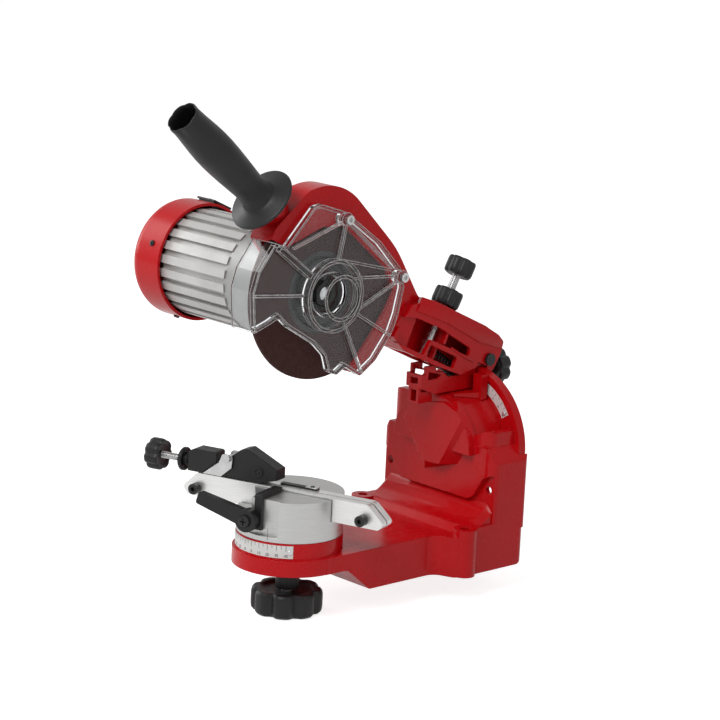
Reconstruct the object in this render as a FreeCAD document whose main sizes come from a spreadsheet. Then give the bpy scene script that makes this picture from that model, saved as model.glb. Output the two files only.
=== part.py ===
"""Electric saw-chain sharpener: a bench grinder with a tilting, swinging grinding head over a swivelling vise.

Frame: X to the user's right, Y to the back, Z up.  The bench plane is Z = 0, the vise turns about X = 0, and
Y = 0 is the line of the two bench bolts.  Millimetres and degrees.
"""
import FreeCAD, Part
import Sketcher
import math
import os
import re
from FreeCAD import Placement, Rotation, Vector

os.makedirs("parts", exist_ok=True)
doc = FreeCAD.newDocument("ChainSharpener")

# ------------------------------------------------------------------ driving dimensions
SIZES = {
    # running clearances
    "running_gap": 0.4,
    "pin_gap": 0.15,
    # base casting
    "vise_axis_back": -142,
    "nose_radius": 47.3,
    "nose_underside": 20.7,
    "platform_top": 34.5,
    "shelf_top": 41,
    "neck_half_width": 47.7,
    "foot_half_width": 68.4,
    "foot_front": -93.4,
    "foot_slope_run": 25.5,
    "shoulder_front": -19.6,
    "shoulder_run": 8,
    "rear_face": 69.2,
    "base_wall": 4.5,
    "column_front": 24,
    "column_half_width": 60,
    "skirt_top": 94,
    "skirt_step": 12,
    "column_top": 138,
    "front_wall": 8,
    "deck_height": 118,
    "seat_radius": 44.5,
    "seat_top": 48,
    "bench_hole_spread": 64.2,
    "bench_hole_diameter": 8.5,
    "bench_ear_radius": 10,
    "wall_hole_spread": 60.8,
    "wall_hole_height": 69.3,
    "wall_hole_diameter": 7,
    "pad_face": 28.9,
    "pad_line": 58,
    "tilt_axis_height": 98,
    "drum_radius": 46.5,
    "drum_front": 17,
    "arch_radius": 66,
    "arch_front": 60,
    "arch_thickness": 6,
    "shield_front": 14,
    # vise
    "vise_rest_angle": 19.2,
    "turntable_radius": 44.2,
    "turntable_top": 82.2,
    "rail_top": 83.7,
    "rail_height": 19.7,
    "rail_thickness": 7.4,
    "chain_slot": 2,
    "rail_left": -98,
    "rail_right": 88,
    "rail_screw_left": -85.7,
    "rail_screw_right": 72.3,
    "rail_screw_height": 70.7,
    "swivel_stud_diameter": 10,
    "swivel_knob_diameter": 60,
    "swivel_knob_height": 21,
    "swivel_knob_drop": 19,
    "lever_plane": -36,
    "lever_pivot_along": -13.6,
    "lever_pivot_height": 64.4,
    "lever_length": 45,
    "lever_rise": 11,
    "stop_axis_height": 91.3,
    "stop_screw_diameter": 6,
    "stop_knob_diameter": 27,
    "stop_knob_length": 22,
    "stop_knob_start": -120,
    "lock_wheel_diameter": 20,
    "lock_wheel_start": -98.5,
    "lock_wheel_length": 7,
    "carriage_left": -96,
    "carriage_right": -66,
    "pawl_pivot_along": -57,
    "pawl_pivot_height": 101,
    # tilt bracket and hinge
    "hinge_back": 68.5,
    "hinge_height": 170,
    "hinge_pin_diameter": 8,
    "hinge_half_width": 9.6,
    "bracket_wall": 2.5,
    "bracket_floor": 50,
    "bracket_front": -7,
    "slot_block_half_width": 6.3,
    "tilt_knob_diameter": 33,
    "tilt_knob_length": 12,
    "tilt_screw_radius": 61,
    # head
    "head_rest_angle": 24.4,
    "wheel_back": -205.2,
    "wheel_drop": -9.3,
    "wheel_diameter": 145,
    "wheel_thickness": 3.2,
    "wheel_bore": 22.2,
    "guard_left": -17,
    "guard_right": 8,
    "guard_wall": 3.5,
    "arm_half_width": 14,
    "arm_wall": 4,
    "arm_top": 24,
    "cover_plane": 12,
    "cover_wall": 2.5,
    "shroud_back": -14,
    "motor_radius": 42,
    "motor_fin_depth": 4,
    "motor_fins": 24,
    "motor_start": -65,
    "motor_end": -150,
    "shield_radius": 45,
    "cap_radius": 50.8,
    "cap_wall": 2.5,
    "cap_open_end": -146,
    "cap_closed_end": -185,
    "spindle_diameter": 12,
    "handle_pitch": 15.8,
    "handle_offset": -7,
    "handle_start": -260.4,
    "handle_rise": 30.4,
    "handle_length": 142,
    "grip_flange_diameter": 57,
    "depth_screw_back": -63,
    "depth_screw_lean": 4,
    "depth_screw_diameter": 8,
    "depth_knob_diameter": 25,
    "depth_knob_height": 15,
}
sheet = doc.addObject("Spreadsheet::Sheet", "Sizes")
for row, (alias, number) in enumerate(SIZES.items(), start=1):
    sheet.set(f"A{row}", alias)
    sheet.set(f"B{row}", str(number))
    sheet.setAlias(f"B{row}", alias)
doc.recompute()


def bound(text):
    """The expression with each size name pointing at its cell."""
    return re.sub(r"[a-z_]+", lambda word: f"Sizes.{word[0]}" if word[0] in SIZES else word[0], str(text))


def value(text):
    """The number that an expression of sizes gives."""
    return float(sheet.evalExpression(bound(text)))


def bind(item, prop, text):
    item.setExpression(prop, bound(text))


# ------------------------------------------------------------------ primitives and booleans
TURN = {"X": Rotation(Vector(0, 1, 0), 90), "Y": Rotation(Vector(1, 0, 0), -90), "Z": Rotation()}


def place(item, x, y, z):
    """Bind the item's base point to three expressions."""
    for axis, text in zip("xyz", (x, y, z)):
        bind(item, f"Placement.Base.{axis}", text)


def block(x, y, z):
    """A box over three (low, high) spans."""
    item = doc.addObject("Part::Box", "Block")
    for prop, span in zip(("Length", "Width", "Height"), (x, y, z)):
        bind(item, prop, f"({span[1]}) - ({span[0]})")
    place(item, x[0], y[0], z[0])
    return item


def along(axis, centre, start):
    """The base point of a round piece along an axis, from its centre line and where it starts."""
    first, second = centre
    return {"X": (start, first, second), "Y": (first, start, second), "Z": (first, second, start)}[axis]


def cylinder(axis, centre, span, radius):
    """A round bar along an axis; the centre is given in the two other directions."""
    item = doc.addObject("Part::Cylinder", "Round")
    bind(item, "Radius", radius)
    bind(item, "Height", f"({span[1]}) - ({span[0]})")
    item.Placement = Placement(Vector(), TURN[axis])
    place(item, *along(axis, centre, span[0]))
    return item


def cone(axis, centre, span, start_radius, end_radius):
    """A round taper along an axis."""
    item = doc.addObject("Part::Cone", "Taper")
    bind(item, "Radius1", start_radius)
    bind(item, "Radius2", end_radius)
    bind(item, "Height", f"({span[1]}) - ({span[0]})")
    item.Placement = Placement(Vector(), TURN[axis])
    place(item, *along(axis, centre, span[0]))
    return item


def slanted(line, span, start_radius, end_radius=None):
    """A round bar or taper along the Z axis of a placement, for what leans."""
    item = doc.addObject("Part::Cylinder" if end_radius is None else "Part::Cone", "Slanted")
    bind(item, "Radius" if end_radius is None else "Radius1", start_radius)
    if end_radius is not None:
        bind(item, "Radius2", end_radius)
    bind(item, "Height", f"({span[1]}) - ({span[0]})")
    item.Placement = line.multiply(Placement(Vector(0, 0, value(span[0])), Rotation()))
    return item


def fuse(*items):
    if len(items) == 1:
        single = doc.addObject("Part::Refine", "Whole")
        single.Source = items[0]
        return single
    item = doc.addObject("Part::MultiFuse", "Union")
    item.Shapes = list(items)
    item.Refine = True
    return item


def cut(base, *tools):
    item = doc.addObject("Part::Cut", "Difference")
    item.Base = base
    item.Tool = tools[0] if len(tools) == 1 else fuse(*tools)
    item.Refine = True
    return item


def common(first, second):
    item = doc.addObject("Part::Common", "Shared")
    item.Base = first
    item.Tool = second
    return item


# ------------------------------------------------------------------ sketches
SKETCH_TURN = {
    "XY": Rotation(),
    "XZ": Rotation(Vector(1, 0, 0), 90),
    "YZ": Rotation(Vector(1, 1, 1), 120),
}


def draw(sketch, corners):
    """A closed outline of straight sides through corners (x, y[, rounding]), each tied to the sheet."""
    spots = [Vector(value(corner[0]), value(corner[1]), 0) for corner in corners]
    count = len(spots)
    sides = [Part.LineSegment(spots[index], spots[(index + 1) % count]) for index in range(count)]
    lines = sketch.addGeometry(sides, False)
    for index, corner in enumerate(corners):
        sketch.addConstraint(Sketcher.Constraint("Coincident", lines[index - 1], 2, lines[index], 1))
        for kind, text in (("DistanceX", corner[0]), ("DistanceY", corner[1])):
            mark = sketch.addConstraint(Sketcher.Constraint(kind, -1, 1, lines[index], 1, value(text)))
            bind(sketch, f".Constraints[{mark}]", text)
    return spots


def ring(sketch, x, y, radius):
    """A circle in a sketch, tied to the sheet."""
    circle = sketch.addGeometry(Part.Circle(Vector(value(x), value(y), 0), Vector(0, 0, 1), value(radius)), False)
    for kind, text in (("DistanceX", x), ("DistanceY", y)):
        mark = sketch.addConstraint(Sketcher.Constraint(kind, -1, 1, circle, 3, value(text)))
        bind(sketch, f".Constraints[{mark}]", text)
    mark = sketch.addConstraint(Sketcher.Constraint("Radius", circle, value(radius)))
    bind(sketch, f".Constraints[{mark}]", radius)


def prism(plane, corners, span, holes=()):
    """An outline in a plane, drawn out over a span along the plane's third axis, its corners then rounded."""
    sketch = doc.addObject("Sketcher::SketchObject", "Outline")
    sketch.Placement = Placement(Vector(), SKETCH_TURN[plane])
    spots = draw(sketch, corners)
    for hole in holes:
        ring(sketch, *hole)
    backwards = plane == "XZ"
    axis = {"XY": "z", "XZ": "y", "YZ": "x"}[plane]
    bind(sketch, f"Placement.Base.{axis}", span[1] if backwards else span[0])
    item = doc.addObject("Part::Extrusion", "Prism")
    item.Base = sketch
    item.DirMode = "Normal"
    item.Solid = True
    bind(item, "LengthFwd", f"({span[1]}) - ({span[0]})")
    wanted = [(spot, value(corner[2])) for spot, corner in zip(spots, corners) if len(corner) > 2]
    if not wanted:
        return item
    doc.recompute()
    along_axis = SKETCH_TURN[plane].multVec(Vector(0, 0, 1))
    marks = []
    for number, edge in enumerate(item.Shape.Edges, start=1):
        ends = [vertex.Point for vertex in edge.Vertexes]
        if len(ends) < 2 or (ends[1] - ends[0]).cross(along_axis).Length > 1e-6:
            continue
        flat = SKETCH_TURN[plane].inverted().multVec(ends[0])
        for spot, radius in wanted:
            if math.hypot(flat.x - spot.x, flat.y - spot.y) < 1e-4:
                marks.append((number, radius, radius))
    rounded = doc.addObject("Part::Fillet", "Rounded")
    rounded.Base = item
    rounded.Edges = marks
    return rounded


def tie(body, plane):
    """A sketch on one of a body's own origin planes."""
    sketch = body.newObject("Sketcher::SketchObject", "Profile")
    support = next(feature for feature in body.Origin.OriginFeatures if feature.Role == f"{plane}_Plane")
    sketch.AttachmentSupport = (support, [""])
    sketch.MapMode = "FlatFace"
    return sketch


def turned(name, profile):
    """A body turned about its own Z axis from (radius, height[, rounding]) corners, its edges then rounded."""
    body = doc.addObject("PartDesign::Body", name)
    sketch = tie(body, "XZ")
    spots = draw(sketch, profile)
    solid = body.newObject("PartDesign::Revolution", "Turning")
    solid.Profile = sketch
    solid.ReferenceAxis = (sketch, ["V_Axis"])
    body.Tip = solid
    for rounding in sorted({corner[2] for corner in profile if len(corner) > 2}, key=float, reverse=True):
        doc.recompute()
        wanted = [spot for spot, corner in zip(spots, profile) if len(corner) > 2 and corner[2] == rounding]
        last = body.Tip
        edges = [f"Edge{number}" for number, edge in enumerate(last.Shape.Edges, start=1)
                 if is_rim(edge, wanted)]
        fillet = body.newObject("PartDesign::Fillet", "Rounding")
        fillet.Base = (last, edges)
        bind(fillet, "Radius", rounding)
        body.Tip = fillet
    return body


def is_rim(edge, spots):
    """Whether an edge is a full circle about Z through one of the profile's corners."""
    curve = edge.Curve
    if not isinstance(curve, Part.Circle) or abs(curve.Center.x) + abs(curve.Center.y) > 1e-6:
        return False
    return any(abs(curve.Radius - spot.x) < 1e-4 and abs(curve.Center.z - spot.y) < 1e-4 for spot in spots)


def lobed_knob(name, radius, height, lobes, bore):
    """A star knob about its own Z axis: a round with scallops between its lobes and a bore for its stud."""
    body = doc.addObject("PartDesign::Body", name)
    sketch = tie(body, "XY")
    ring(sketch, "0", "0", radius)
    ring(sketch, "0", "0", bore)
    solid = body.newObject("PartDesign::Pad", "Blank")
    solid.Profile = sketch
    bind(solid, "Length", height)
    scallop = tie(body, "XY")
    reach = f"({radius}) * 1.08"
    ring(scallop, reach, "0", f"({radius}) * 0.2")
    pocket = body.newObject("PartDesign::Pocket", "Scallop")
    pocket.Profile = scallop
    pocket.Type = "ThroughAll"
    pocket.Midplane = True
    pattern = body.newObject("PartDesign::PolarPattern", "Scallops")
    pattern.Originals = [pocket]
    pattern.Axis = (scallop, ["N_Axis"])
    pattern.Angle = 360
    pattern.Occurrences = lobes
    body.Tip = pattern
    return body


# ------------------------------------------------------------------ finished sub-parts
NODES = {}


def finish(name, item, frame=None, turn=None):
    """Give a sub-part its name and its place: the world, the swivelled vise or the raised head."""
    item.Label = name
    NODES[name] = item
    local = turn or Placement()
    if frame == "vise":
        local = vise_place().multiply(local)
    if frame == "head":
        local = head_place().multiply(local)
    item.Placement = local.multiply(item.Placement)


def vise_place():
    return Placement(Vector(0, value("vise_axis_back"), 0), Rotation(Vector(0, 0, 1), value("vise_rest_angle")))


def head_place():
    hinge = Vector(0, value("hinge_back"), value("hinge_height"))
    return Placement(hinge, Rotation(Vector(1, 0, 0), -value("head_rest_angle")))


# ------------------------------------------------------------------ base
def mirrored(half):
    """A closed outline from its right half, listed from the front to the back."""
    left = [(f"-({corner[0]})",) + tuple(corner[1:]) for corner in reversed(half)]
    return half + left


def foot_plan(inset):
    """The foot from above: a neck that widens to the column's width."""
    half = [
        (f"neck_half_width - {inset}", "vise_axis_back"),
        (f"neck_half_width - {inset}", "shoulder_front", "12"),
        (f"foot_half_width - {inset}", "shoulder_front + shoulder_run", "10"),
        (f"foot_half_width - {inset}", f"rear_face - {inset}", "8"),
    ]
    return mirrored(half)


def base_casting():
    """One thin-walled casting: foot, seat for the turntable, column, drum and scale plate."""
    side = [
        ("vise_axis_back - nose_radius - 2", "nose_underside"),
        ("foot_front - foot_slope_run", "nose_underside", "10"),
        ("foot_front", "0", "4"),
        ("rear_face", "0", "10"),
        ("rear_face", "shelf_top"),
        ("4", "shelf_top", "2"),
        ("-2", "platform_top", "3"),
        ("vise_axis_back - nose_radius - 2", "platform_top"),
    ]
    nose = cylinder("Z", ("0", "vise_axis_back"), ("0", "shelf_top"), "nose_radius")
    plan = fuse(nose, prism("XY", foot_plan("0"), ("0", "shelf_top")))
    foot = common(plan, prism("YZ", side, ("-foot_half_width - 1", "foot_half_width + 1")))
    cavity_plan = mirrored([
        ("neck_half_width - base_wall", "foot_front + base_wall"),
        ("neck_half_width - base_wall", "shoulder_front", "10"),
        ("foot_half_width - base_wall", "shoulder_front + shoulder_run", "8"),
        ("foot_half_width - base_wall", "rear_face - base_wall", "6"),
    ])
    foot_cavity = prism("XY", cavity_plan, ("-1", "platform_top - base_wall"))
    column_plan = mirrored([("foot_half_width", "column_front", "9"), ("foot_half_width", "rear_face", "5")])
    tower_plan = mirrored([("column_half_width", "column_front", "14"), ("column_half_width", "rear_face", "5")])
    skirt = prism("XY", column_plan, ("platform_top - 2", "skirt_top + skirt_step"))
    tower = prism("XY", tower_plan, ("skirt_top", "column_top"))
    front_view = mirrored([
        ("foot_half_width", "platform_top - 2"),
        ("foot_half_width", "skirt_top", "6"),
        ("column_half_width", "skirt_top + skirt_step", "6"),
        ("column_half_width", "column_top", "13"),
    ])
    column = common(fuse(skirt, tower), prism("XZ", front_view, ("column_front - 1", "rear_face + 1")))
    flare = prism("YZ", [("column_front - 13", "shelf_top - 1"), ("pad_face + 1", "shelf_top - 1"),
                         ("pad_face + 1", "pad_line - 3"), ("pad_face - 1", "pad_line - 3")],
                  ("-foot_half_width + 9", "foot_half_width - 9"))
    trough = block(("-column_half_width - 2", "column_half_width + 2"),
                   ("column_front + front_wall", "rear_face + 1"), ("deck_height", "column_top + 1"))
    column = cut(column, trough)
    hub = ("0", "tilt_axis_height")
    sweep = cut(bracket_sweep("drum_front - 6", "arch_front"), cylinder("Y", hub, ("0", "arch_front"), "drum_radius"))
    column = cut(column, sweep, wall_pads())
    upper = block(("-arch_radius - 1", "arch_radius + 1"), ("0", "rear_face"),
                  ("tilt_axis_height", "tilt_axis_height + arch_radius + 1"))
    drum = cylinder("Y", hub, ("drum_front", "arch_front + 1"), "drum_radius")
    arch = cylinder("Y", hub, ("arch_front", "arch_front + arch_thickness"), "arch_radius")
    rim_outer = cylinder("Y", hub, ("arch_front - 2", "arch_front + 1"), "arch_radius")
    rim_inner = cylinder("Y", hub, ("arch_front - 3", "arch_front + 2"), "arch_radius - 5")
    rounds = common(fuse(drum, arch, cut(rim_outer, rim_inner)), upper)
    boss_sweep = cut(bracket_sweep("drum_front - 6", "arch_front"),
                     cylinder("Y", hub, ("0", "arch_front"), "drum_radius + 1.7"))
    body = fuse(foot, column, rounds, cut(shield(), boss_sweep), flare, seat(), *ears())
    pad_top = "wall_hole_height + 13.5 + base_wall"
    cavity = fuse(
        block(("-wall_hole_spread - 3.7", "wall_hole_spread + 3.7"), ("pad_face + base_wall", "rear_face + 1"),
              ("platform_top - base_wall - 1", pad_top)),
        block(("-column_half_width + base_wall", "column_half_width - base_wall"),
              ("column_front + base_wall", "rear_face + 1"), (pad_top, "deck_height - base_wall")))
    under_arch = block(("-column_half_width + base_wall", "column_half_width - base_wall"),
                       ("arch_front", "rear_face + 2"), ("tilt_axis_height", "deck_height + 1"))
    cavity = cut(cavity, under_arch)
    drum_cavity = common(cylinder("Y", hub, ("drum_front + base_wall", "arch_front"), "drum_radius - base_wall"),
                         block(("-drum_radius", "drum_radius"), ("drum_front", "rear_face"),
                               ("tilt_axis_height", "tilt_axis_height + drum_radius")))
    back_space = block(("-arch_radius", "arch_radius"), ("arch_front + arch_thickness", "rear_face + 3"),
                       ("tilt_axis_height - 14", "deck_height + 1"))
    pads = []
    for sign in ("-", ""):
        spot = (f"{sign}wall_hole_spread", "wall_hole_height")
        pads.append(cylinder("Y", spot, ("column_front - 3", "column_front + 20"), "wall_hole_diameter / 2"))
        bench = (f"{sign}bench_hole_spread", "0")
        pads.append(cylinder("Z", bench, ("-1", "shelf_top + 1"), "bench_hole_diameter / 2"))
    stud_bore = cylinder("Z", ("0", "vise_axis_back"), ("0", "seat_top + 1"), "swivel_stud_diameter / 2 + running_gap")
    pivot_bore = cylinder("Y", hub, ("drum_front + 8", "rear_face"), "6")
    body = cut(body, foot_cavity, cavity, drum_cavity, back_space, stud_bore, pivot_bore, *pads)
    body = fuse(body, *ear_cores(), tilt_boss())
    finish("base_casting", body)


def bracket_sweep(front, back):
    """The sector that the tilt bracket moves through, in front of the scale plate."""
    reach = "(arch_radius + 20)"
    return prism("XZ", [
        ("0", "tilt_axis_height"),
        (f"-{reach} * sin(27)", f"tilt_axis_height + {reach} * cos(27)"),
        ("0", f"tilt_axis_height + {reach} * 1.3"),
        (f"{reach} * sin(69)", f"tilt_axis_height + {reach} * cos(69)"),
    ], (front, back))


def wall_pads():
    """The recess low in the column's front, with a raised lobe round each wall screw."""
    half = [
        ("0", "pad_line"),
        ("wall_hole_spread - 20", "pad_line", "6"),
        ("wall_hole_spread - 14", "pad_line + 4", "6"),
        ("wall_hole_spread - 8", "wall_hole_height + 2", "8"),
        ("wall_hole_spread - 3", "wall_hole_height + 10", "6"),
        ("wall_hole_spread + 4", "wall_hole_height + 13.5", "6"),
        ("foot_half_width + 10", "wall_hole_height + 13.5"),
        ("foot_half_width + 10", "platform_top - 5"),
    ]
    left = [(f"-({corner[0]})",) + tuple(corner[1:]) for corner in reversed(half[1:])]
    return prism("XZ", half + left, ("column_front - 3", "pad_face"))


def shield():
    """The raised six-sided boss on the column's front, with sloping sides down to the wall."""
    front = [("-23.5", "131"), ("15.5", "139"), ("40.4", "131"), ("13.6", "83.6"), ("-3.7", "83.3"), ("-31.3", "115.7")]
    back = [("-30", "136"), ("24", "141"), ("56", "130"), ("28", "86"), ("-14", "72"), ("-45", "113")]
    loft = doc.addObject("Part::Loft", "Shield")
    sections = []
    for outline, station in ((front, "shield_front"), (back, "column_front + 1")):
        sketch = doc.addObject("Sketcher::SketchObject", "ShieldOutline")
        sketch.Placement = Placement(Vector(), SKETCH_TURN["XZ"])
        bind(sketch, "Placement.Base.y", station)
        draw(sketch, outline)
        sections.append(sketch)
    loft.Sections = sections
    loft.Solid = True
    loft.Ruled = True
    return loft


def seat():
    """The ring that the turntable turns on."""
    return cylinder("Z", ("0", "vise_axis_back"), ("platform_top - 1", "seat_top"), "seat_radius")


def ears():
    """Round ears for the two bench bolts."""
    return [cylinder("Z", (f"{sign}bench_hole_spread", "0"), ("0", "shelf_top"), "bench_ear_radius")
            for sign in ("-", "")]


def ear_cores():
    """The bolt tubes that stand inside the hollow foot."""
    cores = []
    for sign in ("-", ""):
        spot = (f"{sign}bench_hole_spread", "0")
        outer = cylinder("Z", spot, ("0", "shelf_top"), "bench_ear_radius")
        cores.append(cut(outer, cylinder("Z", spot, ("-1", "shelf_top + 1"), "bench_hole_diameter / 2")))
    return cores


def tilt_boss():
    """The sleeve inside the drum that carries the tilt pivot bolt."""
    outer = cylinder("Y", ("0", "tilt_axis_height"), ("drum_front + 2", "arch_front + 2"), "10")
    return cut(outer, cylinder("Y", ("0", "tilt_axis_height"), ("drum_front + 8", "arch_front + 3"), "6"))


def tilt_scale():
    """Angle sticker on the scale plate beside the drum."""
    hub = ("0", "tilt_axis_height")
    span = ("arch_front - 0.4", "arch_front")
    band = cut(cylinder("Y", hub, span, "arch_radius - 8"),
               cylinder("Y", hub, ("arch_front - 1", "arch_front + 1"), "drum_radius + 3"))
    wedge = prism("XZ", [("0", "tilt_axis_height"), ("30", "tilt_axis_height + 74"), ("115", "tilt_axis_height + 72")],
                  ("arch_front - 2", "arch_front + 2"))
    finish("tilt_scale", common(band, wedge))


def swivel_scale():
    """Angle sticker round the front of the turntable's seat."""
    axis = ("0", "vise_axis_back")
    band = cut(cylinder("Z", axis, ("platform_top + 1.5", "seat_top - 1.5"), "seat_radius + 0.4"),
               cylinder("Z", axis, ("platform_top", "seat_top"), "seat_radius"))
    wedge = prism("XY", [("0", "vise_axis_back"), ("-70", "vise_axis_back - 40"), ("-20", "vise_axis_back - 90"),
                         ("40", "vise_axis_back - 60")], ("platform_top", "seat_top"))
    finish("swivel_scale", common(band, wedge))


# ------------------------------------------------------------------ vise
def turntable():
    axis = ("0", "0")
    drum = cylinder("Z", axis, ("seat_top + 0.3", "turntable_top"), "turntable_radius")
    channel = block(("-60", "60"), ("-(chain_slot / 2 + rail_thickness) - 1.2", "chain_slot / 2 + rail_thickness"),
                    ("rail_top - rail_height", "rail_top"))
    facet = prism("XY", [("-60", "-60"), ("-14", "-60"), ("-14", "-34", "12"), ("-30", "-8", "6"), ("-60", "-8")],
                  ("rail_top - rail_height + 2", "rail_top"))
    stud_hole = cylinder("Z", axis, ("seat_top - 1", "rail_top - rail_height + 1"), "swivel_stud_diameter / 2")
    lever_seat = block(("lever_pivot_along - 12", "lever_pivot_along + 26"),
                       ("-turntable_radius - 5", "lever_plane - 3.7"), ("lever_pivot_height - 12", "rail_top"))
    finish("turntable", cut(drum, channel, facet, stud_hole, lever_seat), "vise")


def rail(name, near, far):
    """One jaw rail: a long bar with rounded ends, drilled for the two cross screws."""
    outline = [
        ("rail_left + 4", "rail_top - rail_height", "4"),
        ("rail_left - 2", "rail_top - rail_height + 6", "4"),
        ("rail_left + 12", "rail_top", "3"),
        ("rail_right - 12", "rail_top", "6"),
        ("rail_right + 4", "rail_top - 15", "4"),
        ("rail_right - 2", "rail_top - rail_height", "3"),
    ]
    holes = [(spot, "rail_screw_height", "3.2") for spot in ("rail_screw_left", "rail_screw_right")]
    finish(name, prism("XZ", outline, (near, far), holes), "vise")


def rail_screws():
    pieces = []
    half = "(chain_slot / 2 + rail_thickness)"
    for spot in ("rail_screw_left", "rail_screw_right"):
        centre = (spot, "rail_screw_height")
        shank = cylinder("Y", centre, (f"-{half} - 5", f"{half} + 6"), "2.5")
        head = cylinder("Y", centre, (f"-{half} - 6.5", f"-{half} - 1"), "4.6")
        nut = cylinder("Y", centre, (f"{half} + 0.3", f"{half} + 5"), "4.6")
        pieces.append(cut(fuse(shank, head, nut),
                          cylinder("Y", centre, (f"-{half} - 7", f"-{half} - 4"), "2")))
    group = fuse(*pieces)
    finish("rail_screws", group, "vise")


def swivel_stud():
    """The stud that draws the turntable down on its seat."""
    finish("swivel_stud", fuse(
        cylinder("Z", ("0", "0"), ("nose_underside - 40", "rail_top - rail_height - 1"), "swivel_stud_diameter / 2 - 0.1")),
        "vise")


def lobed(name, radius, height, lobes, bore, frame, turn):
    body = lobed_knob(name, radius, height, lobes, bore)
    finish(name, body, frame, turn)


def swivel_knob():
    drop = value("nose_underside") - value("swivel_knob_height") - value("swivel_knob_drop") - 3.3
    lobed("swivel_knob", "swivel_knob_diameter / 2", "swivel_knob_height", 8, "swivel_stud_diameter / 2 + pin_gap",
          "vise", Placement(Vector(0, 0, drop), Rotation()))
    collar = cut(cylinder("Z", ("0", "0"), ("nose_underside - swivel_knob_drop - 3.1", "nose_underside - 0.6"), "10"),
                 cylinder("Z", ("0", "0"), ("nose_underside - 40", "nose_underside"), "swivel_stud_diameter / 2 + pin_gap"))
    finish("swivel_knob_collar", collar, "vise")


def clamp_lever():
    """Cranked lever with a round hub that closes the jaw."""
    pivot = ("lever_pivot_along", "lever_pivot_height")
    hub = cylinder("Y", pivot, ("lever_plane - 15", "lever_plane - 7.3"), "9.5")
    bar = prism("XZ", [
        ("lever_pivot_along + 2", "lever_pivot_height + 8"),
        ("lever_pivot_along - lever_length", "lever_pivot_height + lever_rise + 6", "2"),
        ("lever_pivot_along - lever_length - 3", "lever_pivot_height + lever_rise - 4", "2"),
        ("lever_pivot_along - 2", "lever_pivot_height - 6"),
    ], ("lever_plane - 14", "lever_plane - 8"))
    bore = cylinder("Y", pivot, ("lever_plane - 20", "lever_plane"), "3.2")
    finish("clamp_lever", cut(fuse(hub, bar), bore), "vise")


def clamp_bar():
    """Bent bracket over the turntable's edge that carries the lever's screw."""
    pivot = ("lever_pivot_along", "lever_pivot_height")
    strap = prism("YZ", [
        ("lever_plane - 7", "lever_pivot_height - 8"),
        ("lever_plane - 7", "turntable_top + 4", "2"),
        ("-(chain_slot / 2 + rail_thickness) - 2", "turntable_top + 4"),
        ("-(chain_slot / 2 + rail_thickness) - 2", "turntable_top + 0.3"),
        ("lever_plane - 4", "turntable_top + 0.3"),
        ("lever_plane - 4", "lever_pivot_height - 8"),
    ], ("lever_pivot_along + 4", "lever_pivot_along + 11"))
    disc = cylinder("Y", pivot, ("lever_plane - 7", "lever_plane - 4"), "9")
    finish("clamp_bar", fuse(strap, disc), "vise")


def lever_screw():
    pivot = ("lever_pivot_along", "lever_pivot_height")
    screw = fuse(cylinder("Y", pivot, ("lever_plane - 15", "lever_plane - 7"), "3"),
                 cylinder("Y", pivot, ("lever_plane - 18", "lever_plane - 15"), "5"))
    finish("lever_screw", screw, "vise")


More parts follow.
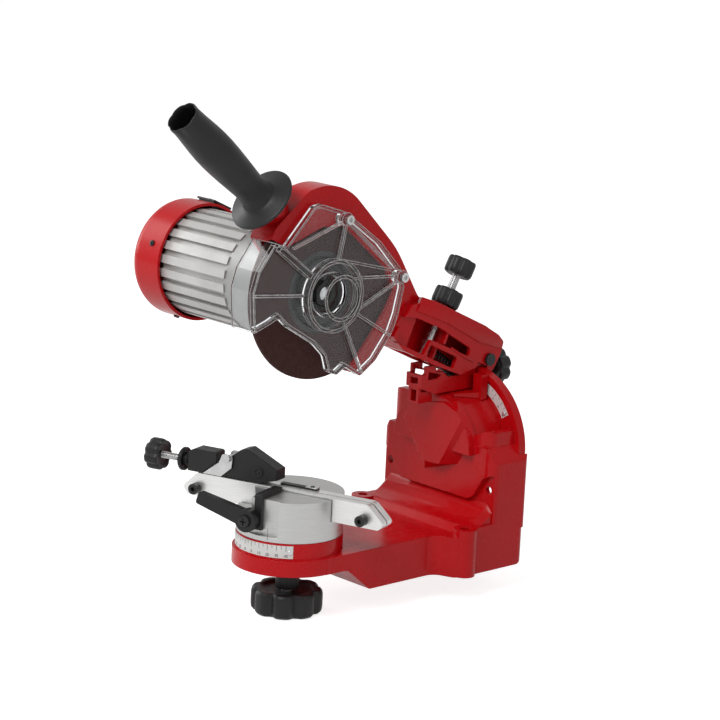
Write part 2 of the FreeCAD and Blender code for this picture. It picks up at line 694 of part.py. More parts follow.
def chain_stop():
    """Adjustable stop on the jaws: fixed block, sliding strap, hinged pawl, screw, knob and lock wheel."""
    screw_line = ("0", "stop_axis_height")
    half = "(chain_slot / 2 + rail_thickness)"
    block_body = prism("XZ", [
        ("carriage_left", "rail_top + 0.2"),
        ("carriage_left", "rail_top + 17", "1.5"),
        ("carriage_left + 6", "rail_top + 20", "1.5"),
        ("carriage_right - 2.6", "rail_top + 20", "2"),
        ("carriage_right - 2.6", "rail_top + 12"),
        ("carriage_left + 14", "rail_top + 0.2"),
    ], ("-7", "7"))
    bore = cylinder("X", screw_line, ("carriage_left - 5", "carriage_right + 5"), "stop_screw_diameter / 2 + running_gap")
    finish("stop_block", cut(block_body, bore), "vise")
    strap_side = [
        ("carriage_left + 15.5", "rail_top + 0.6"),
        ("pawl_pivot_along - 6", "rail_top + 0.6"),
        ("pawl_pivot_along + 4", "pawl_pivot_height - 8"),
        ("pawl_pivot_along + 5", "pawl_pivot_height + 3", "3"),
        ("pawl_pivot_along - 5", "pawl_pivot_height + 3", "3"),
        ("carriage_right + 1", "pawl_pivot_height - 5"),
    ]
    pin = ("pawl_pivot_along", "pawl_pivot_height")
    strap = fuse(prism("XZ", strap_side, ("-8.4", "-7.2")), prism("XZ", strap_side, ("7.2", "8.4")),
                 block(("carriage_right + 1", "carriage_right + 3"), ("-8.4", "8.4"),
                       ("rail_top + 1", "rail_top + 14")))
    strap = cut(strap, cylinder("Y", pin, ("-10", "10"), "2"),
                cylinder("X", screw_line, ("carriage_right", "carriage_right + 5"), "2.2"))
    finish("stop_strap", strap, "vise")
    pawl_side = [
        ("pawl_pivot_along - 1", "pawl_pivot_height - 16.6"),
        ("pawl_pivot_along - 5", "pawl_pivot_height - 14"),
        ("pawl_pivot_along - 5", "pawl_pivot_height - 4", "3"),
        ("pawl_pivot_along + 12", "pawl_pivot_height + 9", "2"),
        ("pawl_pivot_along + 18", "pawl_pivot_height + 10.5", "2"),
        ("pawl_pivot_along + 47", "pawl_pivot_height - 3", "1"),
        ("pawl_pivot_along + 47", "pawl_pivot_height - 12"),
        ("pawl_pivot_along + 30", "pawl_pivot_height - 16.7"),
    ]
    pawl = prism("XZ", pawl_side, ("-6.5", "6.5"))
    finish("stop_pawl", cut(pawl, cylinder("Y", pin, ("-10", "10"), "2.2")), "vise")
    finish("pawl_pin", fuse(cylinder("Y", pin, ("-10", "9.8"), "1.9"), cylinder("Y", pin, ("-11", "-8.6"), "3.4")), "vise")
    finish("stop_screw", fuse(cylinder("X", screw_line, ("stop_knob_start - 3", "carriage_right + 1"),
                                       "stop_screw_diameter / 2"),
                              cylinder("X", screw_line, ("carriage_right", "carriage_right + 3.4"), "2")), "vise")
    wheel = cut(cylinder("X", screw_line, ("lock_wheel_start - lock_wheel_length", "lock_wheel_start"),
                         "lock_wheel_diameter / 2"),
                cylinder("X", screw_line, ("lock_wheel_start - 20", "lock_wheel_start + 1"),
                         "stop_screw_diameter / 2 + running_gap"))
    finish("stop_lock_wheel", wheel, "vise")
    lobed("stop_knob", "stop_knob_diameter / 2", "stop_knob_length", 7, "stop_screw_diameter / 2", "vise",
          Placement(Vector(value("stop_knob_start - stop_knob_length"), 0, value("stop_axis_height")),
                    Rotation(Vector(0, 1, 0), 90)))


def guide_strip():
    """Black wear strip on the rear jaw."""
    strip = block(("-12", "22"), ("chain_slot / 2 + 2", "chain_slot / 2 + rail_thickness"), ("rail_top", "rail_top + 1.5"))
    finish("guide_strip", cut(strip, cylinder("Z", ("17", "chain_slot / 2 + 4.7"), ("rail_top - 1", "rail_top + 3"), "2")),
           "vise")


# ------------------------------------------------------------------ tilting bracket
def tilt_bracket():
    """Casting that tilts on the drum: front leg, channel, hinge block and the lug behind the scale plate."""
    channel_side = [
        ("bracket_front", "tilt_axis_height + 54"),
        ("9", "tilt_axis_height + 47.5"),
        ("hinge_back - 8", "tilt_axis_height + 47.5"),
        ("hinge_back + 9", "hinge_height - 6"),
        ("hinge_back + 9", "hinge_height + 6", "5"),
        ("hinge_back - 8", "hinge_height + 8", "5"),
        ("44", "tilt_axis_height + 61", "4"),
        ("24", "tilt_axis_height + 61"),
        ("17.4", "hinge_height - 5.4"),
        ("9.2", "hinge_height - 5.4"),
        ("9.2", "hinge_height + 1"),
        ("bracket_front", "hinge_height + 1"),
    ]
    half = "hinge_half_width"
    channel = prism("YZ", channel_side, (f"-{half}", half))
    inside = block((f"-{half} + bracket_wall", f"{half} - bracket_wall"), ("bracket_front + 2.5", "48"),
                   ("tilt_axis_height + bracket_floor", "hinge_height + 12"))
    stop_pad = cylinder("Z", ("0", "4.5"), ("tilt_axis_height + 48", "tilt_axis_height + 51.5"), "4.6")
    leg = block(("-slot_block_half_width", "slot_block_half_width"), ("bracket_front", "9"),
                ("tilt_axis_height + 40.5", "tilt_axis_height + 55"))
    leg_window = block(("-4.5", "4.5"), ("bracket_front - 1", "bracket_front + 4"),
                       ("hinge_height - 15", "hinge_height - 9.5"))
    arm_notch = block(("-arm_half_width - 0.6", "arm_half_width + 0.6"), ("bracket_front - 1", "bracket_front + 4"),
                      ("hinge_height - 6.4", "hinge_height + 2"))
    foot_slot = block(("-3.2", "3.2"), ("bracket_front - 1", "2"), ("tilt_axis_height + 42", "tilt_axis_height + 52"))
    side_window = prism("YZ", [("0", "hinge_height - 11.3"), ("1", "hinge_height - 4.3"),
                               ("15.7", "hinge_height - 8"), ("12", "hinge_height - 11.3")],
                        (f"-{half} - 1", f"{half} + 1"))
    lug = prism("YZ", [
        ("arch_front + arch_thickness + running_gap", "tilt_axis_height - 10"),
        ("arch_front + arch_thickness + 6", "tilt_axis_height - 10"),
        ("hinge_back + 9", "hinge_height - 18"),
        ("hinge_back + 9", "hinge_height - 6"),
        ("arch_front + arch_thickness + running_gap", "hinge_height - 6"),
    ], (f"-{half}", half))
    hub = ("0", "tilt_axis_height")
    plate_clear = cylinder("Y", hub, ("arch_front - 2.4", "arch_front + arch_thickness + running_gap"),
                           "arch_radius + running_gap")
    drum_clear = cylinder("Y", hub, ("drum_front + 9.6", "arch_front"), "drum_radius + running_gap")
    boss_clear = cylinder("Y", hub, ("shield_front - running_gap", "drum_front + 9.7"), "drum_radius + 2.1")
    channel = fuse(cut(fuse(channel, leg), inside, leg_window, arm_notch, foot_slot, side_window), stop_pad)
    body = cut(fuse(channel, lug, saddle()), plate_clear, drum_clear, boss_clear,
               cylinder("X", ("hinge_back", "hinge_height"), ("-20", "20"), "hinge_pin_diameter / 2 + pin_gap"),
               cylinder("Y", hub, ("40", "90"), "4.2"),
               cylinder("Y", tilt_screw_line(), ("arch_front", "90"), "4"))
    finish("tilt_bracket", body)


def saddle():
    """The skirt that widens over the drum, and its flange in front of the scale plate."""
    skirt = prism("XY", mirrored([("15.6", "drum_front + 9.7"), ("24.8", "arch_front - 2")]),
                  ("tilt_axis_height + 36", "tilt_axis_height + 46.5"))
    flange = block(("-24.8", "24.8"), ("arch_front - 10", "arch_front - 2.4"),
                   ("tilt_axis_height + 36", "tilt_axis_height + 62"))
    arm_path = block(("-arm_half_width - 0.6", "arm_half_width + 0.6"), ("arch_front - 11", "arch_front"),
                     ("tilt_axis_height + 46.4", "tilt_axis_height + 63"))
    return fuse(skirt, cut(flange, arm_path))


def tilt_screw_line():
    return ("0", "tilt_axis_height + tilt_screw_radius")


def tilt_hardware():
    hub = ("0", "tilt_axis_height")
    bolt = fuse(cylinder("Y", hub, ("drum_front + 8.3", "arch_front + arch_thickness + 10"), "4"),
                cylinder("Y", hub, ("arch_front + arch_thickness + 7.6", "arch_front + arch_thickness + 13"), "7"))
    finish("tilt_pivot_bolt", bolt)
    finish("tilt_screw", fuse(cylinder("Y", tilt_screw_line(), ("arch_front + arch_thickness + 0.3", "hinge_back + 27"),
                                       "3.9")))
    lobed("tilt_knob", "tilt_knob_diameter / 2", "tilt_knob_length", 7, "3.9", None,
          Placement(Vector(0, value("hinge_back + 28"), value("tilt_axis_height + tilt_screw_radius")),
                    Rotation(Vector(1, 0, 0), 90)))


def hinge_pin():
    line = ("hinge_back", "hinge_height")
    finish("hinge_pin", fuse(cylinder("X", line, ("-arm_half_width - 3", "arm_half_width + 0.5"), "hinge_pin_diameter / 2"),
                             cylinder("X", line, ("arm_half_width + 0.3", "arm_half_width + 2.6"), "hinge_pin_diameter / 2 + 1.4")))


# ------------------------------------------------------------------ grinding head, level, from its hinge
def guard_outline(inset):
    """The wheel guard from the side: sloping front, crown over the wheel and the fall to the arm."""
    return [
        (f"wheel_back - 74.6 + {inset}", "wheel_drop + 19"),
        (f"wheel_back - 74.2 + {inset}", "wheel_drop + 30", "12"),
        (f"wheel_back - 54 + {inset} * 0.9", f"wheel_drop + 70 - {inset} * 0.5", "20"),
        (f"wheel_back - 25 + {inset} * 0.2", f"wheel_drop + 91 - {inset} * 1.1", "52"),
        (f"wheel_back + 60 - {inset} * 0.4", f"wheel_drop + 60.5 - {inset} * 0.9", "110"),
        (f"wheel_back + 99 - {inset}", f"wheel_drop + 34.5 - {inset}", "8"),
        (f"wheel_back + 105 - {inset}", f"arm_top - 2 - {inset} * 8 / 7"),
        (f"wheel_back + 105 - {inset}", f"wheel_drop - 13 + {inset}"),
        (f"wheel_back + 88 - {inset}", f"wheel_drop - 9 + {inset}", "5"),
        (f"wheel_back + 72 - {inset}", "wheel_drop - 48", "3"),
        ("wheel_back + 58", "wheel_drop - 50", "2"),
    ]


def head_casting():
    """Wheel guard and arm in one casting, open below the wheel."""
    axle = ("wheel_back", "wheel_drop")
    shell = prism("YZ", guard_outline("0"), ("guard_left", "guard_right"))
    motor_pad = cylinder("X", axle, ("guard_left", "guard_left + guard_wall"), "shield_radius + 3")
    inside = prism("YZ", guard_outline("guard_wall"), ("guard_left + guard_wall", "guard_right - guard_wall"))
    wheel_space = cylinder("X", axle, ("guard_left + guard_wall", "guard_right - guard_wall"), "wheel_diameter / 2 + 2.2")
    window = prism("YZ", [
        ("wheel_back - 56", "wheel_drop + 21"),
        ("wheel_back - 27", "wheel_drop + 49", "4"),
        ("wheel_back - 6", "wheel_drop + 57", "4"),
        ("wheel_back + 55", "wheel_drop + 41", "4"),
        ("wheel_back + 74", "wheel_drop + 28", "4"),
        ("wheel_back + 72", "wheel_drop + 9", "4"),
        ("wheel_back + 54", "wheel_drop - 60"),
        ("wheel_back - 110", "wheel_drop - 60"),
        ("wheel_back - 110", "wheel_drop + 21"),
    ], ("guard_right - guard_wall - 1", "guard_right + 1"))
    boss = slanted(handle_line(), ("10", "29"), "12.5", "12")
    boss_hole = slanted(handle_line(), ("5", "40"), "5")
    arm_side = [
        ("wheel_back + 95", "arm_top - 10"),
        ("wheel_back + 118", "arm_top + 1"),
        ("-17", "arm_top + 1", "20"),
        ("10", "arm_top - 4", "3"),
        ("11.5", "8", "4"),
        ("9", "-10", "7"),
        ("-12", "-12"),
        ("-26", "-23"),
        ("-62", "-25"),
        ("wheel_back + 104", "-25"),
        ("wheel_back + 86", "-18"),
    ]
    arm = prism("YZ", arm_side, ("-arm_half_width", "arm_half_width"))
    arm_inside = prism("YZ", [
        ("wheel_back + 109", "arm_top - 4"),
        ("-17", "arm_top - 4"),
        ("20", "arm_top - 7"),
        ("20", "-40"),
        ("wheel_back + 109", "-40"),
    ], ("-arm_half_width + arm_wall", "arm_half_width - arm_wall"))
    window_side = [("-118", "0", "3"), ("-101", "5", "4"), ("-70", "6", "4"), ("-27", "1.5", "2"), ("-24", "-5.5", "2"),
                   ("-75", "-6.5", "2"), ("-78", "-21", "2"), ("-114", "-21", "3")]
    arm_window = prism("YZ", window_side, ("arm_half_width - arm_wall - 1", "arm_half_width + 1"))
    spring_window = prism("YZ", [("-74", "-10.5", "2"), ("-38", "-10.5", "2"), ("-38", "-21", "2"), ("-74", "-21", "2")],
                          ("arm_half_width - arm_wall - 1", "arm_half_width + 1"))
    spring_lug = fuse(block(("-6.2", "6.2"), ("-59", "-56.5"), ("-22", "arm_top - 3")),
                      block(("-arm_half_width + 1", "arm_half_width - 1"), ("-59", "-56.5"), ("-5", "arm_top - 3")))
    screw_boss = slanted(depth_line(), ("10", "arm_top"), "9")
    screw_hole = slanted(depth_line(), ("-40", "arm_top + 20"), "depth_screw_diameter / 2 + 0.1")
    arm = fuse(cut(arm, arm_inside, arm_window, spring_window), spring_lug, screw_boss)
    body = fuse(cut(fuse(shell, motor_pad), inside, wheel_space, window), arm, boss)
    body = cut(body, boss_hole, screw_hole, rim_space(),
               cylinder("X", axle, ("guard_left - 1", "guard_left + guard_wall + 1"), "22"),
               cylinder("X", ("0", "0"), ("-20", "20"), "hinge_pin_diameter / 2 + pin_gap"))
    finish("head_casting", body, "head")


def rim_space():
    """Room under the hinge ears for the rim of the scale plate over the whole swing and tilt."""
    return prism("YZ", [("-11.4", "-40"), ("-11.4", "-6"), ("1.3", "-6"), ("17", "-40")],
                 ("-arm_half_width - 1", "arm_half_width + 1"))


def handle_line():
    """The handle's axis, from its root in the guard to its open end."""
    return Placement(Vector(value("handle_offset"), value("handle_start"), value("handle_rise")),
                     Rotation(Vector(1, 0, 0), 90 - value("handle_pitch")))


def depth_line():
    """The depth screw's axis, leaning back a little."""
    return Placement(Vector(0, value("depth_screw_back"), 0), Rotation(Vector(1, 0, 0), -value("depth_screw_lean")))


COVER_EDGE = [(-74, 18.6), (-61.4, 20), (-48, 59), (-41.5, 63.5), (-14, 67), (34, 58), (66, 45.5), (77, 33), (81.5, 10),
              (82, -6), (75, -33), (64.5, -50), (45, -48), (39, -57), (30, -58), (20, -47), (4, -41.5), (-30, -38),
              (-43, -34), (-50, -42), (-62, -53.5), (-78, -25), (-80, -8)]
COVER_ROUNDING = (0, 2, 6, 4, 8, 20, 6, 5, 6, 4, 3, 2, 3, 2, 6, 10, 20, 8, 6, 6, 0, 0, 0)


def wheel_cover():
    """Clear moulding over the wheel: a flat with a rim, screw bosses, ribs, hub tube and a wrapped front."""
    axle = ("wheel_back", "wheel_drop")
    base = "cover_plane + cover_wall"
    flat = prism("YZ", from_axle(COVER_EDGE, COVER_ROUNDING), ("cover_plane", base))
    rim = cut(prism("YZ", from_axle(COVER_EDGE, COVER_ROUNDING), ("guard_right + running_gap", "cover_plane + 1")),
              prism("YZ", from_axle(shrunk(COVER_EDGE, value("cover_wall"))), ("guard_right - 1", "cover_plane + 2")))
    tube = cylinder("X", axle, ("cover_plane", f"{base} + 16"), "19")
    ring_wall = cut(cylinder("X", axle, ("cover_plane + 1", f"{base} + 8"), "30"),
                    cylinder("X", axle, ("cover_plane", f"{base} + 9"), "27.5"))
    bore = cylinder("X", axle, ("cover_plane - 5", f"{base} + 20"), "16.5")
    bosses = [cylinder("X", spot, ("guard_right + running_gap", f"{base} + 3"), "5.5") for spot in cover_screw_spots()]
    screw_bores = [cylinder("X", spot, ("guard_right", f"{base} + 6"), "2.3") for spot in cover_screw_spots()]
    front = [COVER_EDGE[0]] + COVER_EDGE[:-4:-1]
    front_inside = [(-60.2, -52), (-75.8, -24.4), (-77.7, -8), (-71.9, 18.6)]
    shroud = prism("YZ", from_axle(front + front_inside), ("shroud_back", base))
    cover = cut(fuse(flat, rim, tube, ring_wall, shroud, *bosses, *cover_ribs()), bore, *screw_bores)
    finish("wheel_cover", cover, "head")


def from_axle(spots, roundings=None):
    """Corners given from the wheel's axle, with their roundings."""
    corners = [(f"wheel_back + ({y})", f"wheel_drop + ({z})") for y, z in spots]
    if roundings is None:
        return corners
    return [corner + (str(radius),) if radius else corner for corner, radius in zip(corners, roundings)]


def shrunk(spots, amount):
    """The same outline moved inward by an amount, its corners mitred."""
    moved = []
    for index, spot in enumerate(spots):
        before = Vector(*spot, 0) - Vector(*spots[index - 1], 0)
        after = Vector(*spots[(index + 1) % len(spots)], 0) - Vector(*spot, 0)
        inward = [Vector(side.y, -side.x, 0).normalize() for side in (before, after)]
        middle = inward[0] + inward[1]
        reach = amount * 2 / middle.dot(middle)
        moved.append((spot[0] + middle.x * reach, spot[1] + middle.y * reach))
    return moved


def cover_screw_spots():
    return [("wheel_back - 13", "wheel_drop + 61.7"), ("wheel_back + 68.2", "wheel_drop + 39.4")]


def cover_ribs():
    """Ribs between the hub ring, the rim and the screw bosses, and one thick bar."""
    ribs = []
    thin = (1.8, 3)
    for start, end, (width, height) in (
        ((-71, 16), (-28, 6.5), (5, 5)), ((-56, 21), (-16, 58), thin), ((-11, 57), (-5, 29), thin),
        ((-9, 60), (64, 40), thin), ((-1, 30), (66, 43), thin), ((20, 22), (65, 39), thin),
        ((28, -8), (67, 36), thin), ((29, -4), (79, -9), thin), ((25, -16), (63, -47), thin),
        ((-77, -27), (-28, -10), thin),
    ):
        length = math.hypot(end[0] - start[0], end[1] - start[1])
        rib = doc.addObject("Part::Box", "Rib")
        rib.Length = height
        rib.Width = length
        rib.Height = width
        centre = Vector(value("cover_plane + cover_wall - 0.5"), value("wheel_back") + start[0],
                        value("wheel_drop") + start[1])
        spin = Rotation(Vector(1, 0, 0), math.degrees(math.atan2(end[1] - start[1], end[0] - start[0])))
        rib.Placement = Placement(centre, spin).multiply(Placement(Vector(0, 0, -width / 2), Rotation()))
        ribs.append(rib)
    return ribs


def cover_screws():
    pieces = []
    for spot in cover_screw_spots():
        head = cylinder("X", spot, ("cover_plane + cover_wall + 3.2", "cover_plane + cover_wall + 7"), "4")
        socket = cylinder("X", spot, ("cover_plane + cover_wall + 5", "cover_plane + cover_wall + 8"), "2")
        shank = cylinder("X", spot, ("guard_right + 0.3", "cover_plane + cover_wall + 5"), "2")
        pieces.append(cut(fuse(head, shank), socket))
    finish("cover_screws", fuse(*pieces), "head")


def grinding_wheel():
    axle = ("wheel_back", "wheel_drop")
    wheel = cut(cylinder("X", axle, ("-wheel_thickness / 2", "wheel_thickness / 2"), "wheel_diameter / 2"),
                cylinder("X", axle, ("-wheel_thickness", "wheel_thickness"), "wheel_bore / 2"))
    finish("grinding_wheel", wheel, "head")


def spindle():
    """Motor shaft with its shoulder, the two clamping flanges, rotor, fan and bearings."""
    axle = ("wheel_back", "wheel_drop")
    shaft = fuse(cylinder("X", axle, ("cap_closed_end + 16", "8"), "spindle_diameter / 2"),
                 cylinder("X", axle, ("-wheel_thickness / 2", "wheel_thickness / 2"), "wheel_bore / 2 - 0.1"),
                 cylinder("X", axle, ("-wheel_thickness / 2 - 4", "-wheel_thickness / 2"), "18"),
                 cylinder("X", axle, ("-wheel_thickness / 2 - 14", "-wheel_thickness / 2"), "9"))
    finish("spindle", shaft, "head")
    washer = cut(cylinder("X", axle, ("wheel_thickness / 2", "wheel_thickness / 2 + 2.5"), "16"),
                 cylinder("X", axle, ("0", "6"), "spindle_diameter / 2"))
    finish("outer_flange", washer, "head")
    nut_sides = 6
    hexagon = []
    for index in range(nut_sides):
        angle = 360 / nut_sides * index
        hexagon.append((f"wheel_back + 11 * cos({angle})", f"wheel_drop + 11 * sin({angle})"))
    nut = cut(prism("YZ", hexagon, ("wheel_thickness / 2 + 2.5", "wheel_thickness / 2 + 9")),
              cylinder("X", axle, ("0", "12"), "spindle_diameter / 2"))
    finish("spindle_nut", nut, "head")
    rotor = cut(cylinder("X", axle, ("motor_end + 12", "motor_start - 18"), "22"),
                cylinder("X", axle, ("motor_end", "motor_start"), "spindle_diameter / 2"))
    finish("rotor", rotor, "head")
    fan_blades = [cylinder("X", axle, ("cap_closed_end + 18", "cap_closed_end + 30"), "10")]
    for index in range(9):
        blade = doc.addObject("Part::Box", "Blade")
        bind(blade, "Length", "10")
        bind(blade, "Width", "cap_radius - 26")
        bind(blade, "Height", "2")
        centre = Vector(value("cap_closed_end + 19"), value("wheel_back"), value("wheel_drop"))
        blade.Placement = Placement(centre, Rotation(Vector(1, 0, 0), 40 * index)).multiply(
            Placement(Vector(0, 8, -1), Rotation()))
        fan_blades.append(blade)
    fan = cut(fuse(*fan_blades), cylinder("X", axle, ("cap_closed_end", "motor_end"), "spindle_diameter / 2"))
    finish("cooling_fan", fan, "head")
    bearings = []
    for start in ("motor_end + 1", "motor_start + 8"):
        bearings.append(cut(cylinder("X", axle, (start, f"{start} + 9"), "16"),
                            cylinder("X", axle, (f"{start} - 1", f"{start} + 10"), "spindle_diameter / 2 + 0.3")))
    finish("bearings", fuse(*bearings), "head")


def motor():
    """Finned stator housing, its front end shield and the red fan cap."""
    axle = ("wheel_back", "wheel_drop")
    shield_body = cut(
        fuse(cylinder("X", axle, ("motor_start", "guard_left"), "shield_radius"),
             cone("X", axle, ("guard_left - 12", "guard_left"), "shield_radius", "shield_radius + 1.5")),
        cylinder("X", axle, ("motor_start - 1", "motor_start + 8"), "34"),
        cylinder("X", axle, ("motor_start", "motor_start + 17.1"), "16.1"),
        cylinder("X", axle, ("motor_start", "guard_left + 1"), "12"))
    finish("motor_end_shield", shield_body, "head")
    body = doc.addObject("PartDesign::Body", "MotorHousing")
    core = tie(body, "XY")
    ring(core, "0", "0", "motor_radius")
    ring(core, "0", "0", "motor_radius - 7")
    pad = body.newObject("PartDesign::Pad", "Core")
    pad.Profile = core
    bind(pad, "Length", "motor_start - motor_end")
    doc.recompute()
    fin = tie(body, "XY")
    draw(fin, [("motor_radius - 1", "-2.6"), ("motor_radius + motor_fin_depth", "-3.6", "0.8"),
               ("motor_radius + motor_fin_depth", "3.6", "0.8"), ("motor_radius - 1", "2.6")])
    fin_pad = body.newObject("PartDesign::Pad", "Fin")
    fin_pad.Profile = fin
    bind(fin_pad, "Length", "motor_start - motor_end")
    fins = body.newObject("PartDesign::PolarPattern", "Fins")
    fins.Originals = [fin_pad]
    fins.Axis = (core, ["N_Axis"])
    fins.Angle = 360
    bind(fins, "Occurrences", "motor_fins")
    body.Tip = fins
    finish("motor_housing", body, "head",
           Placement(Vector(value("motor_end"), value("wheel_back"), value("wheel_drop")), Rotation(Vector(0, 1, 0), 90)))
    stator = cut(cylinder("X", axle, ("motor_end + 18", "motor_start - 22"), "motor_radius - 7.3"),
                 cylinder("X", axle, ("motor_end", "motor_start"), "23"))
    finish("stator", stator, "head")
    back_plate = cut(cylinder("X", axle, ("motor_end - 1", "motor_end + 11"), "motor_radius - 7.2"),
                     cylinder("X", axle, ("motor_end + 0.9", "motor_end + 12"), "16.1"),
                     cylinder("X", axle, ("motor_end - 2", "motor_end + 12"), "9"))
    finish("motor_back_plate", back_plate, "head")
    cap = turned("MotorCap", [
        ("0", "0"), ("cap_radius", "0", "11"), ("cap_radius", "cap_open_end - cap_closed_end"),
        ("cap_radius - cap_wall", "cap_open_end - cap_closed_end"), ("cap_radius - cap_wall", "cap_wall", "9"),
        ("0", "cap_wall"),
    ])
    cap.Placement = Placement(Vector(value("cap_closed_end"), value("wheel_back"), value("wheel_drop")),
                              Rotation(Vector(0, 1, 0), 90))
    switch_hole = block(switch_span("0.3"), ("wheel_back - 9.3", "wheel_back + 9.3"),
                        ("wheel_drop + cap_radius - 12", "wheel_drop + cap_radius + 2"))
    gland_hole = cylinder("Y", gland_spot(), ("wheel_back + cap_radius - 12", "wheel_back + cap_radius + 2"), "6.3")
    posts = []
    for turn in (45, 135, 225, 315):
        spot = (f"wheel_back + (motor_radius - 3) * cos({turn})", f"wheel_drop + (motor_radius - 3) * sin({turn})")
        posts.append(cylinder("X", spot, ("cap_closed_end + cap_wall - 0.5", "motor_end - 1.2"), "4"))
    finish("motor_cap", fuse(cut(cap, switch_hole, gland_hole), *posts), "head")


def handle():
    grip = turned("HandleGrip", [
        ("5.2", "30"), ("20", "30.5", "2"), ("grip_flange_diameter / 2", "29.5", "1.5"),
        ("grip_flange_diameter / 2", "33", "1.5"), ("15", "36", "5"), ("13", "48", "14"),
        ("16", "90", "60"), ("13", "handle_length - 6", "8"), ("15.5", "handle_length", "2"),
        ("10.5", "handle_length", "1"), ("9", "60"), ("5.2", "58"),
    ])
    finish("handle_grip", grip, "head", handle_line())
    stud = fuse(slanted(Placement(), ("10.5", "61"), "4.8"), slanted(Placement(), ("60.3", "66"), "8"))
    finish("handle_stud", stud, "head", handle_line())


def depth_stop():
    line = depth_line()
    rod = slanted(Placement(), ("-20", "arm_top + 44"), "depth_screw_diameter / 2")
    finish("depth_screw", fuse(rod), "head", line)
    for name, start in (("depth_lock_knob", "arm_top + 2.3"), ("depth_knob", "arm_top + 31")):
        lobed(name, "depth_knob_diameter / 2", "depth_knob_height", 7, "depth_screw_diameter / 2 + running_gap", "head",
              line.multiply(Placement(Vector(0, 0, value(start)), Rotation())))


def return_spring():
    """Coil that lifts the head, between the arm's spring lug and the bracket's hinge block."""
    start = Vector(0, -55.4, -15.5)
    direction = Vector(0, -16.8, -21.5) - start
    line = Placement(start, Rotation(Vector(0, 0, 1), direction))
    length = str(direction.Length)
    outer = slanted(line, ("0", length), "6.2")
    finish("return_spring", cut(outer, slanted(line, ("-1", f"{length} + 1"), "4.4")), "head")


def switch_span(margin):
    return (f"cap_closed_end + 14 - {margin}", f"cap_closed_end + 34 + {margin}")


def gland_spot():
    return ("cap_closed_end + 22", "wheel_drop")


def switch_and_gland():
    """Rocker switch in its frame, and the cable gland, on the far side of the motor cap."""
    top = "wheel_drop + cap_radius"
    frame_solid = fuse(block(switch_span("0"), ("wheel_back - 9", "wheel_back + 9"), (f"{top} - 10", f"{top} + 0.6")),
                       block(switch_span("1.5"), ("wheel_back - 10.5", "wheel_back + 10.5"), (f"{top} + 0.3", f"{top} + 2")))
    well = block(switch_span("-2.6"), ("wheel_back - 6", "wheel_back + 6"), (f"{top} - 8", f"{top} + 3"))
    finish("switch_frame", cut(frame_solid, well), "head")
    rocker = common(
        cylinder("Y", ("cap_closed_end + 24", f"{top} - 4.4"), ("wheel_back - 5.7", "wheel_back + 5.7"), "7.5"),
        block(switch_span("-3.5"), ("wheel_back - 6", "wheel_back + 6"), (f"{top} - 6.5", f"{top} + 6")))
    finish("power_switch", rocker, "head")
    gland = fuse(cylinder("Y", gland_spot(), ("wheel_back + cap_radius - 8", "wheel_back + cap_radius + 2"), "6"),
                 cylinder("Y", gland_spot(), ("wheel_back + cap_radius + 0.5", "wheel_back + cap_radius + 5"), "8.5"),
                 cone("Y", gland_spot(), ("wheel_back + cap_radius + 4", "wheel_back + cap_radius + 12"), "7.5", "6"))
    bore = cylinder("Y", gland_spot(), ("wheel_back + cap_radius - 9", "wheel_back + cap_radius + 13"), "3.5")
    finish("cable_gland", cut(gland, bore), "head")


for build in (base_casting, tilt_scale, swivel_scale, turntable, rail_screws, swivel_stud, swivel_knob, clamp_lever,
              clamp_bar, lever_screw, chain_stop, guide_strip, tilt_bracket, tilt_hardware, hinge_pin, head_casting,
              wheel_cover, cover_screws, grinding_wheel, spindle, motor, handle, depth_stop, return_spring,
              switch_and_gland):
    build()
rail("front_rail", "-(chain_slot / 2 + rail_thickness)", "-chain_slot / 2")
rail("rear_rail", "chain_slot / 2", "chain_slot / 2 + rail_thickness")

doc.recompute()
failed = [f"{item.Name} ({item.TypeId})" for item in doc.Objects if "Invalid" in item.State or "Error" in item.State]
if failed:
    raise RuntimeError("did not compute: " + ", ".join(failed))
for name, item in NODES.items():
    shape = item.Shape
    if shape.isNull() or not shape.isValid():
        raise RuntimeError(f"{name} is not a valid shape")
    shape.exportStep(f"parts/{name}.step")
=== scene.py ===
"""Electric bench grinder for saw chains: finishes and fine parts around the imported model."""
import math

import bmesh
import bpy
from mathutils import Matrix, Vector


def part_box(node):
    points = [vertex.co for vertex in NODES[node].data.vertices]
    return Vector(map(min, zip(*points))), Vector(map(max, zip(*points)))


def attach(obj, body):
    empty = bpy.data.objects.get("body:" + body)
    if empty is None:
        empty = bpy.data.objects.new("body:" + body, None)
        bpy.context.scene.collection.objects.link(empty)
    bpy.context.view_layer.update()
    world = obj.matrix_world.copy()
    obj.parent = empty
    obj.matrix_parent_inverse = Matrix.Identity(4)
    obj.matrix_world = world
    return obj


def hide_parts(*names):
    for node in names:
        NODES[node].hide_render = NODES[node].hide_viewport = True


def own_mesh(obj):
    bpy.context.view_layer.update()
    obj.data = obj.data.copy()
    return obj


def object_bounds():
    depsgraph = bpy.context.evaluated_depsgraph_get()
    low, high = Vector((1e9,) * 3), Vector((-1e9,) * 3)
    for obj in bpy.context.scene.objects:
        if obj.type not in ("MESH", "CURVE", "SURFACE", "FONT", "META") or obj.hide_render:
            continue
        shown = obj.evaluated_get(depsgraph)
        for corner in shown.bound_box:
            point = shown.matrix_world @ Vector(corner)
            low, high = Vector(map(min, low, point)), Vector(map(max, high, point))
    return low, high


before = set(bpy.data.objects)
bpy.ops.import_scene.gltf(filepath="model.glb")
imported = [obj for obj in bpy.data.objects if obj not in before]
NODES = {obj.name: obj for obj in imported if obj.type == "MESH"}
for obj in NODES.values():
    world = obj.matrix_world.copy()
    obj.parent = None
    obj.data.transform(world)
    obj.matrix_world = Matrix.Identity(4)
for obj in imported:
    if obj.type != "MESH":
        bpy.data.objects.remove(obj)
cad_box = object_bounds()
MM = 0.001


